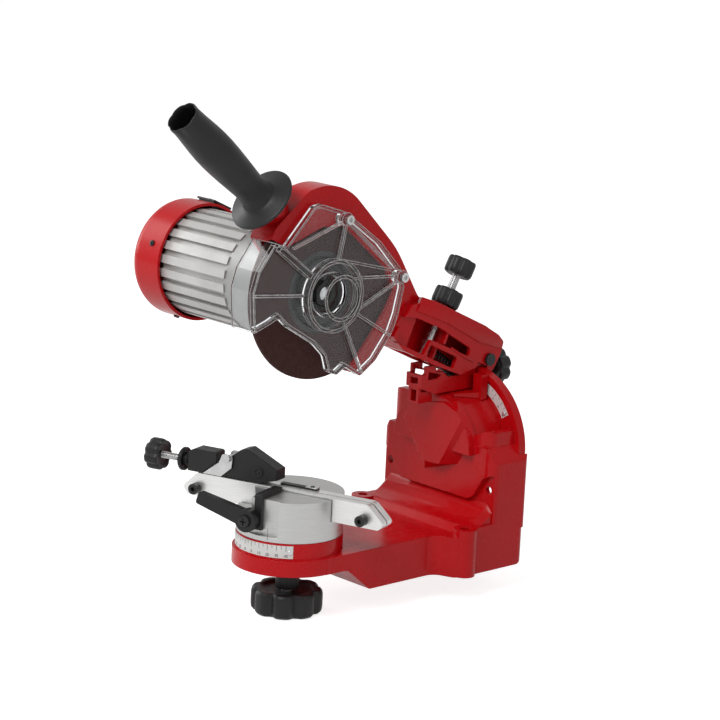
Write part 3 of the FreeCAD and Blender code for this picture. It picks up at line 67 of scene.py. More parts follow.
# ---------------------------------------------------------------- places

def at(x, y, z):
    """A shift in millimetres."""
    return Matrix.Translation(Vector((x, y, z)) * MM)


def turn(degrees, axis):
    """A rotation about an axis through the origin."""
    return Matrix.Rotation(math.radians(degrees), 4, axis)


# The frames that parts are drawn in, as they stand at rest. Z runs along each screw and each knob's stud.
WORLD = Matrix.Identity(4)
SWIVEL = at(0, -142, 0)
TILT = at(0, 0, 98)
JAW = SWIVEL @ turn(19.2, "Z")
HEAD = at(0, 68.5, 170) @ turn(-24.4, "X")
AXLE = HEAD @ at(0, -205.2, -9.3)
HANDLE_LINE = HEAD @ at(-7, -260.4, 30.4) @ turn(90 - 15.8, "X")
DEPTH_LINE = HEAD @ at(0, -63, 0) @ turn(-4, "X")
STOP_LINE = JAW @ at(0, 0, 91.3) @ turn(90, "Y")
LEVER_LINE = JAW @ at(-13.6, -51.1, 64.4) @ turn(90, "X")


# ---------------------------------------------------------------- materials

WHITE = (1, 1, 1, 1)


def arithmetic(tree, operation, first, second):
    """The result of a Math node on two values, each a socket or a number."""
    node = tree.nodes.new("ShaderNodeMath")
    node.operation = operation
    for entry, value in zip(node.inputs, (first, second)):
        if isinstance(value, bpy.types.NodeSocket):
            tree.links.new(value, entry)
        else:
            entry.default_value = value
    return node.outputs["Value"]


class Finish:
    """A Principled material whose colour, roughness and bump come from patterns on Object coordinates."""

    edge_samples = 6

    def __init__(self, name, metallic=0.0, coat=0.0, transmission=0.0, ior=1.5, gloss=0.5):
        self.material = bpy.data.materials.new(name)
        self.material.use_nodes = True
        self.nodes = self.material.node_tree.nodes
        self.links = self.material.node_tree.links
        self.shader = self.nodes["Principled BSDF"]
        self.shader.inputs["Metallic"].default_value = metallic
        self.shader.inputs["Coat Weight"].default_value = coat
        self.shader.inputs["Coat Roughness"].default_value = 0.08
        self.shader.inputs["Transmission Weight"].default_value = transmission
        self.shader.inputs["IOR"].default_value = ior
        self.shader.inputs["Specular IOR Level"].default_value = gloss
        self.place = self.node("ShaderNodeTexCoord").outputs["Object"]
        self.normal = None

    def node(self, kind, **values):
        """A new shader node, with its inputs or settings given by name."""
        made = self.nodes.new(kind)
        for key, item in values.items():
            if key in made.inputs:
                made.inputs[key].default_value = item
            else:
                setattr(made, key, item)
        return made

    def join(self, start, end):
        self.links.new(start, end)

    def noise(self, scale, detail=4.0, roughness=0.55, stretch=(1, 1, 1)):
        """Soft clouds, repeating more often along an axis that stretch raises."""
        mapping = self.node("ShaderNodeMapping")
        mapping.inputs["Scale"].default_value = stretch
        self.join(self.place, mapping.inputs["Vector"])
        noise = self.node("ShaderNodeTexNoise", Scale=scale, Detail=detail, Roughness=roughness)
        self.join(mapping.outputs["Vector"], noise.inputs["Vector"])
        return noise.outputs["Fac"]

    def grains(self, scale):
        """Small cells, with their random colours and the distance from each one's middle."""
        cells = self.node("ShaderNodeTexVoronoi", Scale=scale)
        self.join(self.place, cells.inputs["Vector"])
        return cells.outputs

    def colours(self, pattern, *stops):
        """Colours a pattern by stops, each given as its place from 0 to 1 and its colour."""
        ramp = self.node("ShaderNodeValToRGB")
        elements = ramp.color_ramp.elements
        elements[0].position, elements[0].color = stops[0][0], (*stops[0][1], 1)
        elements[1].position, elements[1].color = stops[-1][0], (*stops[-1][1], 1)
        for position, colour in stops[1:-1]:
            elements.new(position).color = (*colour, 1)
        self.join(pattern, ramp.inputs["Fac"])
        self.join(ramp.outputs["Color"], self.shader.inputs["Base Color"])

    def roughness(self, pattern, low, high):
        """Spreads the middle of a noise's range from one roughness to another."""
        spread = self.node("ShaderNodeMapRange")
        spread.inputs["From Min"].default_value = 0.3
        spread.inputs["From Max"].default_value = 0.7
        spread.inputs["To Min"].default_value = low
        spread.inputs["To Max"].default_value = high
        self.join(pattern, spread.inputs["Value"])
        self.join(spread.outputs["Result"], self.shader.inputs["Roughness"])

    def bump(self, pattern, depth, strength=1.0):
        """Adds fine relief on top of the normal so far."""
        relief = self.node("ShaderNodeBump", Strength=strength, Distance=depth)
        self.join(pattern, relief.inputs["Height"])
        if self.normal:
            self.join(self.normal, relief.inputs["Normal"])
        self.normal = relief.outputs["Normal"]
        self.join(self.normal, self.shader.inputs["Normal"])

    def soften(self, radius):
        """Rounds the edges of a casting as its mould and paint do."""
        edge = self.node("ShaderNodeBevel", Radius=radius)
        edge.samples = self.edge_samples
        self.normal = edge.outputs["Normal"]
        self.join(self.normal, self.shader.inputs["Normal"])

    def let_lamps_through(self, share):
        """Passes this share of the lamps' light on to what lies behind clear plastic."""
        tree = self.material.node_tree
        path = self.node("ShaderNodeLightPath").outputs
        lamplight = arithmetic(tree, "MAXIMUM", path["Is Shadow Ray"], path["Is Diffuse Ray"])
        through = self.node("ShaderNodeBsdfTransparent", Color=(share, share, share, 1))
        mix = self.node("ShaderNodeMixShader")
        self.join(lamplight, mix.inputs[0])
        self.join(self.shader.outputs["BSDF"], mix.inputs[1])
        self.join(through.outputs["BSDF"], mix.inputs[2])
        self.join(mix.outputs["Shader"], self.nodes["Material Output"].inputs["Surface"])


def red_paint():
    """Glossy paint on slightly uneven castings."""
    finish = Finish("red_paint", coat=0.10, gloss=0.16)
    finish.soften(0.9 * MM)
    cloud = finish.noise(9)
    finish.colours(cloud, (0.3, (0.53, 0.0025, 0.005)), (0.7, (0.62, 0.004, 0.008)))
    finish.roughness(finish.noise(60), 0.20, 0.31)
    finish.bump(finish.noise(240, 3), 0.12 * MM, 0.4)
    finish.bump(finish.noise(35, 2), 0.3 * MM, 0.25)
    return finish.material


def black_plastic():
    """Fine-grained moulded black."""
    low, high = 0.007, 0.013
    finish = Finish("black_plastic", gloss=0.35)
    finish.soften(0.5 * MM)
    finish.colours(finish.noise(14), (0.3, (low, low, low * 1.05)), (0.7, (high, high, high * 1.05)))
    finish.roughness(finish.noise(80), 0.36, 0.5)
    finish.bump(finish.noise(900, 2), 0.1 * MM, 0.5)
    return finish.material


def cast_aluminium():
    """Bare casting with a fine sandy skin."""
    tone = 0.30
    finish = Finish("cast_aluminium", metallic=0.85)
    finish.soften(0.5 * MM)
    cloud = finish.noise(22, 6)
    finish.colours(cloud, (0.3, (tone, tone, tone * 0.98)), (0.7, (tone * 1.3, tone * 1.3, tone * 1.28)))
    finish.roughness(finish.noise(120), 0.38, 0.52)
    finish.bump(finish.noise(420, 4), 0.25 * MM, 0.5)
    return finish.material


def housing_aluminium():
    """Pale, matt stator housing."""
    finish = Finish("housing_aluminium", metallic=0.35)
    finish.soften(0.4 * MM)
    finish.colours(finish.noise(18, 5), (0.3, (0.52, 0.515, 0.50)), (0.7, (0.66, 0.655, 0.64)))
    finish.roughness(finish.noise(90), 0.42, 0.6)
    finish.bump(finish.noise(500, 3), 0.15 * MM, 0.5)
    return finish.material


def machined_aluminium(name, tone):
    """Bright turned and milled faces, with fine tool lines."""
    finish = Finish(name, metallic=0.9)
    finish.soften(0.4 * MM)
    lines = finish.noise(60, 5, 0.7, (1, 1, 30))
    finish.colours(lines, (0.3, (tone, tone, tone * 0.985)), (0.7, (tone * 1.22, tone * 1.22, tone * 1.2)))
    finish.roughness(lines, 0.3, 0.46)
    finish.bump(lines, 0.06 * MM, 0.4)
    return finish.material


def steel():
    """Bright zinc-plated screws and pins."""
    tone = 0.6
    finish = Finish("zinc_steel", metallic=1.0)
    finish.soften(0.25 * MM)
    finish.colours(finish.noise(45, 4), (0.3, (tone * 0.82,) * 3), (0.7, (tone * 1.1,) * 3))
    finish.roughness(finish.noise(150), 0.2, 0.36)
    finish.bump(finish.noise(400, 3, 0.5), 0.05 * MM, 0.4)
    return finish.material


def dark_steel():
    """Blackened screws, nuts and spring wire."""
    finish = Finish("dark_steel", metallic=0.6)
    finish.colours(finish.noise(60), (0.3, (0.016,) * 3), (0.7, (0.035,) * 3))
    finish.roughness(finish.noise(150), 0.28, 0.45)
    finish.bump(finish.noise(500), 0.05 * MM, 0.4)
    return finish.material


def clear_plastic():
    """The cover's clear moulding."""
    finish = Finish("clear_plastic", transmission=1.0, ior=1.3, gloss=0.4)
    finish.colours(finish.noise(12), (0.3, (0.93, 0.95, 0.96)), (0.7, (0.97, 0.98, 0.99)))
    finish.roughness(finish.noise(70), 0.01, 0.035)
    finish.bump(finish.noise(30, 2), 0.05 * MM, 0.15)
    finish.let_lamps_through(0.86)
    return finish.material


def frosted_plastic():
    """Painted highlight for the clear cover's sharp edges: a pale, half-clear finish that stands in for the
    light those edges catch.
    """
    finish = Finish("frosted_plastic", transmission=0.5, ior=1.3, gloss=0.4)
    finish.colours(finish.noise(90), (0.3, (0.66, 0.63, 0.63)), (0.7, (0.80, 0.77, 0.77)))
    finish.roughness(finish.noise(150), 0.2, 0.4)
    finish.bump(finish.noise(200, 2), 0.03 * MM, 0.3)
    finish.let_lamps_through(0.86)
    return finish.material


def abrasive():
    """Bonded grit: dark and pale grains in a red-brown binder."""
    finish = Finish("abrasive", gloss=0.25)
    grit = finish.grains(2600)
    finish.colours(grit["Color"], (0.1, (0.030, 0.0105, 0.0095)), (0.55, (0.050, 0.017, 0.015)),
                   (0.95, (0.095, 0.042, 0.036)))
    finish.roughness(finish.noise(200), 0.7, 0.9)
    finish.bump(grit["Distance"], 0.12 * MM, 0.5)
    return finish.material


def scale_film():
    """Satin white film that the scales are printed on."""
    finish = Finish("scale_film")
    finish.colours(finish.noise(20), (0.3, (0.74, 0.74, 0.72)), (0.7, (0.82, 0.82, 0.80)))
    finish.roughness(finish.noise(90), 0.3, 0.45)
    finish.bump(finish.noise(60, 2), 0.05 * MM, 0.3)
    return finish.material


def print_ink():
    """Black ink of the ticks and numbers."""
    finish = Finish("print_ink")
    finish.colours(finish.noise(200), (0.3, (0.015,) * 3), (0.7, (0.035,) * 3))
    finish.roughness(finish.noise(90), 0.4, 0.55)
    finish.bump(finish.noise(300), 0.02 * MM, 0.3)
    return finish.material


def laminations():
    """Stacked sheets of the motor's core."""
    finish = Finish("laminations", metallic=0.7)
    sheets = finish.noise(20, 2, 0.5, (90, 1, 1))
    finish.colours(sheets, (0.35, (0.10, 0.08, 0.07)), (0.65, (0.26, 0.22, 0.19)))
    finish.roughness(sheets, 0.35, 0.6)
    finish.bump(sheets, 0.2 * MM, 0.6)
    return finish.material


RED = red_paint()
BLACK = black_plastic()
CAST = cast_aluminium()
HOUSING = housing_aluminium()
TURNED = machined_aluminium("turned_aluminium", 0.48)
MILLED = machined_aluminium("milled_aluminium", 0.70)
STEEL = steel()
DARK_STEEL = dark_steel()
CLEAR = clear_plastic()
# Painted highlight: a pale finish that makes the clear cover's edges look lit
EDGE_HIGHLIGHT = frosted_plastic()
GRIT = abrasive()
FILM = scale_film()
INK = print_ink()
CORE = laminations()

FINISHES = {
    RED: ["base_casting", "tilt_bracket", "head_casting", "motor_cap"],
    BLACK: ["swivel_knob", "swivel_knob_collar", "clamp_lever", "clamp_bar", "stop_block", "stop_pawl",
            "stop_lock_wheel", "stop_knob", "guide_strip", "tilt_knob", "handle_grip", "depth_knob",
            "depth_lock_knob", "switch_frame", "power_switch", "cable_gland", "cooling_fan"],
    CAST: ["motor_end_shield", "motor_back_plate"],
    HOUSING: ["motor_housing"],
    TURNED: ["turntable"],
    MILLED: ["front_rail", "rear_rail"],
    STEEL: ["swivel_stud", "stop_strap", "pawl_pin", "stop_screw", "tilt_pivot_bolt", "tilt_screw",
            "cover_screws", "handle_stud", "spindle", "bearings", "depth_screw"],
    DARK_STEEL: ["return_spring", "lever_screw", "rail_screws", "hinge_pin", "outer_flange", "spindle_nut"],
    CLEAR: ["wheel_cover"],
    GRIT: ["grinding_wheel"],
    FILM: ["tilt_scale", "swivel_scale"],
    CORE: ["stator", "rotor"],
}


def dress_nodes():
    """Gives each CAD node its finish."""
    for material, names in FINISHES.items():
        for name in names:
            mesh = NODES[name].data
            mesh.materials.clear()
            mesh.materials.append(material)


# ---------------------------------------------------------------- pieces made here

SMOOTH_BELOW = math.radians(34)  # edges that turn by more stay sharp
WELD = 0.002  # millimetres within which points are one


def piece(name, shape, place, body, material, *stands_for):
    """A finished mesh, drawn in millimetres in its own frame and set in its place on its body."""
    bmesh.ops.remove_doubles(shape, verts=shape.verts, dist=WELD)
    bmesh.ops.recalc_face_normals(shape, faces=shape.faces)
    bmesh.ops.transform(shape, matrix=place @ Matrix.Scale(MM, 4), verts=shape.verts)
    mesh = bpy.data.meshes.new(name)
    shape.to_mesh(mesh)
    shape.free()
    for face in mesh.polygons:
        face.use_smooth = True
    mesh.set_sharp_from_angle(angle=SMOOTH_BELOW)
    mesh.materials.append(material)
    item = bpy.data.objects.new(name, mesh)
    bpy.context.scene.collection.objects.link(item)
    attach(item, body)
    if stands_for:
        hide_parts(*stands_for)
    return item


def newest(made, kind):
    """The vertices or edges that a bmesh operator has just made."""
    return [item for item in made["geom"] if isinstance(item, kind)]


def hexagon_outline(angle):
    """The reach of a hexagon's side where its corners reach 1."""
    side = math.radians(60)
    return math.cos(side / 2) / math.cos((angle + side / 2) % side - side / 2)


def cross_outline(angle):
    """The reach of a cross recess, with narrow arms."""
    return 0.3 + 0.7 * abs(math.cos(2 * angle)) ** 4


def star_outline(lobes, depth=0.14):
    """A round with scallops cut between its lobes."""
    def reach(angle):
        return 1 - depth * (0.5 + 0.5 * math.cos(lobes * angle)) ** 3
    return reach


def ringed(shape, rings, segments=48):
    """Adds a skin through rings about Z, each given as radius, height and, unless it's round, its outline."""
    verts = bmesh.ops.create_circle(shape, segments=segments, radius=1)["verts"]
    edges = list(dict.fromkeys(edge for vert in verts for edge in vert.link_edges))
    for index, (radius, height, *outline) in enumerate(rings):
        if index:
            made = bmesh.ops.extrude_edge_only(shape, edges=edges)
            verts = set(newest(made, bmesh.types.BMVert))
            edges = [edge for edge in newest(made, bmesh.types.BMEdge) if set(edge.verts) <= verts]
        for vert in verts:
            angle = math.atan2(vert.co.y, vert.co.x)
            reach = max(radius, 0.01) * (outline[0](angle) if outline else 1)
            vert.co = Vector((math.cos(angle) * reach, math.sin(angle) * reach, height))


def lobed_knob(radius, height, lobes, bore):
    """A star knob standing on Z, with rounded rims, a shallow dish in its top and a bore for its stud."""
    shape = bmesh.new()
    star = star_outline(lobes)
    slight = star_outline(lobes, 0.06)
    ringed(shape, [
        (bore, 0.4), (radius * 0.5, 0.3), (radius * 0.78, 0, slight), (radius * 0.92, height * 0.04, star),
        (radius * 0.985, height * 0.14, star), (radius, height * 0.3, star), (radius, height * 0.78, star),
        (radius * 0.98, height * 0.92, star), (radius * 0.93, height, star), (radius * 0.8, height, slight),
        (radius * 0.72, height * 0.96), (radius * 0.66, height * 0.9), (radius * 0.5, height * 0.88),
        (bore, height * 0.88), (bore, 0.4)], segments=lobes * 12)
    return shape


def threaded_rod(crest, root, length, pitch, steps=20):
    """A screw along Z from 0: one turn's profile wound up its length and cut square at both ends."""
    shape = bmesh.new()
    profile = [(root, 0), (root, 0.14), (crest, 0.44), (crest, 0.56), (root, 0.86), (root, 1)]
    verts = [shape.verts.new((radius, 0, (share - 1) * pitch)) for radius, share in profile]
    edges = [shape.edges.new(pair) for pair in zip(verts, verts[1:])]
    turns = math.ceil(length / pitch) + 2
    bmesh.ops.spin(shape, geom=verts + edges, cent=(0, 0, 0), axis=(0, 0, 1), dvec=(0, 0, pitch / steps),
                   angle=math.tau * turns, steps=turns * steps, use_merge=False)
    bmesh.ops.remove_doubles(shape, verts=shape.verts, dist=WELD)
    for height, side in ((0, -1), (length, 1)):
        geometry = shape.verts[:] + shape.edges[:] + shape.faces[:]
        bmesh.ops.bisect_plane(shape, geom=geometry, plane_co=(0, 0, height), plane_no=(0, 0, side),
                               clear_outer=True)
        rim = [edge for edge in shape.edges
               if edge.is_boundary and all(abs(vert.co.z - height) < 0.001 for vert in edge.verts)]
        bmesh.ops.holes_fill(shape, edges=rim, sides=0)
    return shape


def close(shape):
    """Fills the openings that are left in a shape."""
    bmesh.ops.holes_fill(shape, edges=[edge for edge in shape.edges if edge.is_boundary], sides=0)


def coil(radius, wire, length, turns, steps=26):
    """A round wire wound about Z from 0, closed at both ends."""
    shape = bmesh.new()
    section = Matrix.Translation((radius, 0, 0)) @ turn(90, "X")
    bmesh.ops.create_circle(shape, segments=10, radius=wire, matrix=section)
    bmesh.ops.spin(shape, geom=shape.verts[:] + shape.edges[:], cent=(0, 0, 0), axis=(0, 0, 1),
                   dvec=(0, 0, length / (turns * steps)), angle=math.tau * turns, steps=turns * steps,
                   use_merge=False)
    close(shape)
    return shape


def socket_screw(radius, height, socket, depth, shank=0.02, reach=0.0, recess=hexagon_outline):
    """A domed screw head on Z with a recess of the given outline, and a shank below it."""
    shape = bmesh.new()
    ringed(shape, [
        (0, -reach), (shank, -reach), (shank, 0), (radius, 0), (radius, height * 0.55),
        (radius * 0.9, height * 0.86), (radius * 0.72, height), (socket, height, recess),
        (socket, height - depth, recess), (0, height - depth)])
    return shape


def prism(outline, near, far, edge):
    """A plate with softened edges: an outline in Y and Z, drawn from one X to another."""
    shape = bmesh.new()
    verts = [shape.verts.new((near, y, z)) for y, z in outline]
    face = shape.faces.new(verts)
    made = bmesh.ops.extrude_face_region(shape, geom=[face])
    bmesh.ops.translate(shape, verts=newest(made, bmesh.types.BMVert), vec=(far - near, 0, 0))
    bmesh.ops.recalc_face_normals(shape, faces=shape.faces)
    sharp = [item for item in shape.edges if item.calc_face_angle(0) > math.radians(20)]
    bmesh.ops.bevel(shape, geom=sharp, offset=edge, segments=2, profile=0.5, affect="EDGES", material=-1)
    return shape


def add_knobs():
    """The five moulded star knobs and the thin wheel that locks the stop's screw."""
    depth_size = {"radius": 12.5, "height": 15, "lobes": 7, "bore": 4.4}
    for name, node, body, place, size in (
        ("swivel_star_knob", "swivel_knob", "swivel_knob", JAW @ at(0, 0, -22.6),
         {"radius": 30, "height": 21, "lobes": 8, "bore": 5.1}),
        ("depth_star_knob", "depth_knob", "depth_knob", DEPTH_LINE @ at(0, 0, 55), depth_size),
        ("depth_lock_star_knob", "depth_lock_knob", "depth_lock_knob", DEPTH_LINE @ at(0, 0, 26.3),
         depth_size),
        ("tilt_star_knob", "tilt_knob", "tilt_knob", at(0, 96.5, 159) @ turn(90, "X"),
         {"radius": 16.5, "height": 12, "lobes": 7, "bore": 3.9}),
        ("stop_star_knob", "stop_knob", "stop_screw", STOP_LINE @ at(0, 0, -137),
         {"radius": 13.5, "height": 13, "lobes": 7, "bore": 3}),
    ):
        piece(name, lobed_knob(**size), place, body, BLACK, node)
    wheel = bmesh.new()
    ringed(wheel, [
        (3.4, 0), (7, 0), (9.2, 0.2), (10, 1), (10, 3), (9.2, 3.8), (8, 3.8), (7.4, 2.6), (5.6, 2.6),
        (5.6, 7), (3.4, 7), (3.4, 0)])
    piece("stop_lock_thumbwheel", wheel, STOP_LINE @ at(0, 0, -105.5), "stop_lock_wheel", BLACK,
          "stop_lock_wheel")


def add_screws():
    """Threaded rods and the screw heads that the castings carry."""
    rod = threaded_rod(crest=4, root=3.45, length=88, pitch=1.25)
    piece("depth_screw_thread", rod, DEPTH_LINE @ at(0, 0, -20), "depth_screw", STEEL, "depth_screw")
    rod = threaded_rod(crest=3, root=2.5, length=63, pitch=1)
    ringed(rod, [(0, 62.9), (2, 62.9), (2, 66.4), (0, 66.4)], segments=20)
    piece("stop_screw_thread", rod, STOP_LINE @ at(0, 0, -128), "stop_screw", STEEL, "stop_screw")
    for index in range(4):
        screw = socket_screw(radius=2.6, height=1.6, socket=1.2, depth=1.1)
        spot = AXLE @ turn(183 + 90 * index, "X") @ at(-158, 50.7, 0) @ turn(-90, "X")
        piece(f"motor_cap_screw_{index + 1}", screw, spot, "head", DARK_STEEL)
    screw = socket_screw(radius=1.9, height=0.9, socket=0.8, depth=0.6, shank=1.5, reach=2)
    piece("guide_screw", screw, JAW @ at(17, 5.7, 85.6), "vise", DARK_STEEL)
    screw = socket_screw(radius=5, height=2.9, socket=3.2, depth=1.8, shank=2.9, reach=8,
                         recess=cross_outline)
    piece("lever_cross_screw", screw, LEVER_LINE, "vise", DARK_STEEL, "lever_screw")


def add_spring():
    """The coil between the arm's lug and the hinge block, which the head presses shorter."""
    start, end = Vector((0, -55.4, -15.5)), Vector((0, -16.8, -21.5))
    wire, inset = 0.85, 0.9
    along = end - start
    tilt = math.degrees(math.atan2(along.y, along.z))
    shape = coil(radius=5.2, wire=wire, length=along.length - 2 * inset, turns=9)
    place = HEAD @ at(*start) @ turn(-tilt, "X") @ at(0, 0, inset)
    spring = piece("return_coil", shape, place, "head", DARK_STEEL, "return_spring")
    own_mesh(spring)


def add_handle():
    """The soft grip: thin flange, waisted root, full middle and a waved open end."""
    wave = star_outline(6, 0.07)
    flange = [(5.2, 30.2), (20, 30.2), (27.6, 29.8), (28.3, 30.5), (28.5, 31.4), (28.2, 32.3), (27, 33),
              (18, 34.4)]
    grip = [(15, 36.6), (13.6, 41), (13, 47), (13.2, 53), (13.9, 62), (14.8, 73), (15.5, 84), (15.9, 94),
            (15.8, 104), (15.3, 113), (14.5, 122), (13.9, 129)]
    end = [(radius, height, wave) for radius, height in (
        (13.7, 135), (13.9, 139.5), (13.9, 141), (13.6, 141.6), (13, 141.7), (12.6, 141), (12.4, 136))]
    bore = [(9.4, 70), (9, 60.3), (5.2, 60.3), (5.2, 30.2)]
    shape = bmesh.new()
    ringed(shape, flange + grip + end + bore, segments=72)
    piece("handle_soft_grip", shape, HANDLE_LINE, "head", BLACK, "handle_grip")


def add_fillet():
    """The smooth hollow between the column's recess and the shelf, smaller at both ends."""
    corner_y, corner_z = 29.2, 40.9
    left_end, end_length, middle_length, end_scale = -66, 6.4, 119.2, 0.6
    hollow = [(corner_y, 58), (28.5, 56.6), (26.6, 54.2), (22.4, 50.7), (18.2, 47.5), (14, 44.6),
              (10, 42.5), (6.6, 41.4), (4.6, 41.05), (4.6, corner_z), (corner_y, corner_z)]
    shape = bmesh.new()
    outline = [shape.verts.new((left_end, corner_y + (y - corner_y) * end_scale,
                                corner_z + (z - corner_z) * end_scale)) for y, z in hollow]
    edges = [shape.edges.new((outline[index - 1], outline[index])) for index in range(len(outline))]
    shape.faces.new(outline)
    corner = Matrix.Translation((0, -corner_y, -corner_z))
    for step, grow in ((end_length, 1 / end_scale), (middle_length, 1), (end_length, end_scale)):
        made = bmesh.ops.extrude_edge_only(shape, edges=edges)
        verts = newest(made, bmesh.types.BMVert)
        edges = [edge for edge in newest(made, bmesh.types.BMEdge) if set(edge.verts) <= set(verts)]
        bmesh.ops.translate(shape, verts=verts, vec=(step, 0, 0))
        bmesh.ops.scale(shape, verts=verts, vec=(1, grow, grow), space=corner)
    close(shape)
    piece("base_fillet", shape, WORLD, "base", RED)


def add_arm_relief():
    """The raised band along the top of the arm's side and the small rib above its spring."""
    side = 13.7
    band = [(-104, 10), (-104, 23), (-86, 24.6), (-18, 24.6), (0, 23), (8, 20), (8, 13), (-20, 9.5),
            (-66, 12)]
    piece("arm_band", prism(band, side, 15.3, edge=0.6), HEAD, "head", RED)
    rib = [(-50, -4.5), (-50, -6), (-30, -8.5), (-18, -8.5), (-18, -6.5), (-30, -6.5)]
    piece("arm_rib", prism(rib, side, 15, edge=0.3), HEAD, "head", RED)


def add_cover_edges():
    """Thin strips along the sharp edges of the clear cover, which carry a painted highlight where those edges
    catch the light.
    """
    strip_radius, overlap, shortest, flattest = 0.27, 0.1, 0.4, math.radians(38)
    cover = bmesh.new()
    cover.from_mesh(NODES["wheel_cover"].data)
    bmesh.ops.remove_doubles(cover, verts=cover.verts, dist=0.01 * MM)
    shape = bmesh.new()
    for edge in cover.edges:
        length = edge.calc_length() / MM
        if length < shortest or not edge.is_manifold or edge.calc_face_angle(0) < flattest:
            continue
        start, end = (vert.co / MM for vert in edge.verts)
        aim = (end - start).to_track_quat("Z", "Y").to_matrix().to_4x4()
        bmesh.ops.create_cone(shape, cap_ends=True, segments=4, radius1=strip_radius, radius2=strip_radius,
                              depth=length + overlap, matrix=Matrix.Translation((start + end) / 2) @ aim)
    cover.free()
    # These strips carry a painted highlight along the clear cover's edges
    piece("cover_edge_highlights", shape, WORLD, "head", EDGE_HIGHLIGHT)


def add_pawl_relief():
    """The round boss and the raised border on the front of the stop's pawl."""
    boss = bmesh.new()
    ringed(boss, [(0, 0), (4.4, 0), (4.4, 0.7), (4.1, 1), (3, 1), (2.8, 0.5), (1.6, 0.5), (1.5, 0.9),
                  (0, 0.9)], segments=40)
    piece("pawl_boss", boss, JAW @ at(-28, -6.45, 93) @ turn(90, "X"), "stop_pawl", BLACK)
    border = [(44.5, 109.4), (39.5, 111), (10.5, 97.7), (10.5, 90), (12.6, 90), (12.6, 96.4),
              (39.7, 108.8), (43.6, 107.6)]
    piece("pawl_border", prism(border, -7.1, -6.4, edge=0.25), JAW @ turn(90, "Z"), "stop_pawl", BLACK)


def add_plates():
    """The bright plate on the guide strip and the blank disc on the wheel's face."""
    plate = bmesh.new()
    size, middle = (10.5, 6.6, 0.7, 1), (17, 5.6, 85.55)
    bmesh.ops.create_cube(plate, size=1, matrix=Matrix.Translation(middle) @ Matrix.Diagonal(size))
    bmesh.ops.bevel(plate, geom=plate.edges[:], offset=0.2, segments=2, profile=0.5, affect="EDGES",
                    material=-1)
    piece("guide_plate", plate, JAW, "vise", STEEL)
    wheel_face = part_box("grinding_wheel")[1][0] / MM
    disc = bmesh.new()
    ringed(disc, [(20, 0), (34, 0), (34, 0.2), (33.8, 0.25), (20.2, 0.25), (20, 0.2), (20, 0)], segments=64)
    piece("wheel_disc", disc, AXLE @ at(wheel_face, 0, 0) @ turn(90, "Y"), "spindle", DARK_STEEL)


# ---------------------------------------------------------------- scales

def number(text, size):
    """The flat mesh of a plain number, its middle at the origin."""
    letters = bpy.data.curves.new("number", "FONT")
    letters.body = text
    letters.size = size
    letters.align_x = "CENTER"
    letters.align_y = "CENTER"
    item = bpy.data.objects.new("number", letters)
    bpy.context.scene.collection.objects.link(item)
    mesh = bpy.data.meshes.new_from_object(item)
    bpy.data.objects.remove(item)
    bpy.data.curves.remove(letters)
    return mesh


PRINT = 0.06  # thickness of the ink in millimetres


def stroke(shape, along, middle, width, length, parts):
    """Adds a flat line that stands along Y."""
    place = Matrix.Translation((along, middle, 0)) @ Matrix.Diagonal((width, length, 1, 1))
    bmesh.ops.create_grid(shape, x_segments=1, y_segments=parts, size=0.5, matrix=place)


def scale_marks(first, last, zero, radius, near, far, size, sense=1):
    """Ticks each 5 degrees and plain numbers each 10, drawn flat: along X by angle times radius, up Y."""
    width, long_share, short_share, number_rise = 0.32, 0.42, 0.26, 0.55
    shape = bmesh.new()
    for degrees in range(first, last + 1, 5):
        along = math.radians(zero + degrees * sense) * radius
        numbered = degrees % 10 == 0
        length = (far - near) * (long_share if numbered else short_share)
        stroke(shape, along, far - length / 2, width, length, parts=2)
        if numbered:
            mesh = number(str(abs(degrees)), size)
            mesh.transform(Matrix.Translation((along, near + size * number_rise, 0)))
            shape.from_mesh(mesh)
            bpy.data.meshes.remove(mesh)
    return shape


def printed(shape):
    """The flat marks with the thickness of their ink."""
    bmesh.ops.solidify(shape, geom=shape.faces[:], thickness=PRINT)
    return shape


def wrapped(shape, radius):
    """The flat marks bent round a cylinder about Z and printed."""
    for vert in shape.verts:
        angle = vert.co.x / radius
        vert.co = Vector((math.cos(angle) * radius, math.sin(angle) * radius, vert.co.y))
    return printed(shape)


def add_swivel_scale():
    """Film and numbers round the front of the seat, the turntable's index line and the end rivet."""
    zero, print_radius, drum_radius = 275.5, 45, 44.25
    inside, outside, foot, top = 44.55, 44.95, 36, 46.6
    film = bmesh.new()
    section = [(inside, foot), (inside, top), (outside, top), (outside, foot)]
    verts = [film.verts.new((radius, 0, height)) for radius, height in section]
    edges = [film.edges.new((verts[index - 1], verts[index])) for index in range(4)]
    bmesh.ops.spin(film, geom=verts + edges, cent=(0, 0, 0), axis=(0, 0, 1), angle=math.radians(114),
                   steps=60, use_merge=False)
    close(film)
    piece("swivel_scale_film", film, SWIVEL @ turn(209, "Z"), "base", FILM, "swivel_scale")
    marks = scale_marks(first=-60, last=40, zero=zero, radius=print_radius, near=36.2, far=46.5, size=3.3)
    piece("swivel_scale_print", wrapped(marks, print_radius), SWIVEL, "base", INK)
    line = bmesh.new()
    stroke(line, math.radians(zero) * drum_radius, middle=55, width=0.34, length=10, parts=4)
    piece("swivel_index", wrapped(line, drum_radius), JAW, "vise", INK)
    spot = SWIVEL @ turn(320, "Z") @ at(44.9, 0, 41) @ turn(90, "Y")
    rivet = socket_screw(radius=2.2, height=0.7, socket=0.8, depth=0.4)
    piece("swivel_scale_rivet", rivet, spot, "base", STEEL)


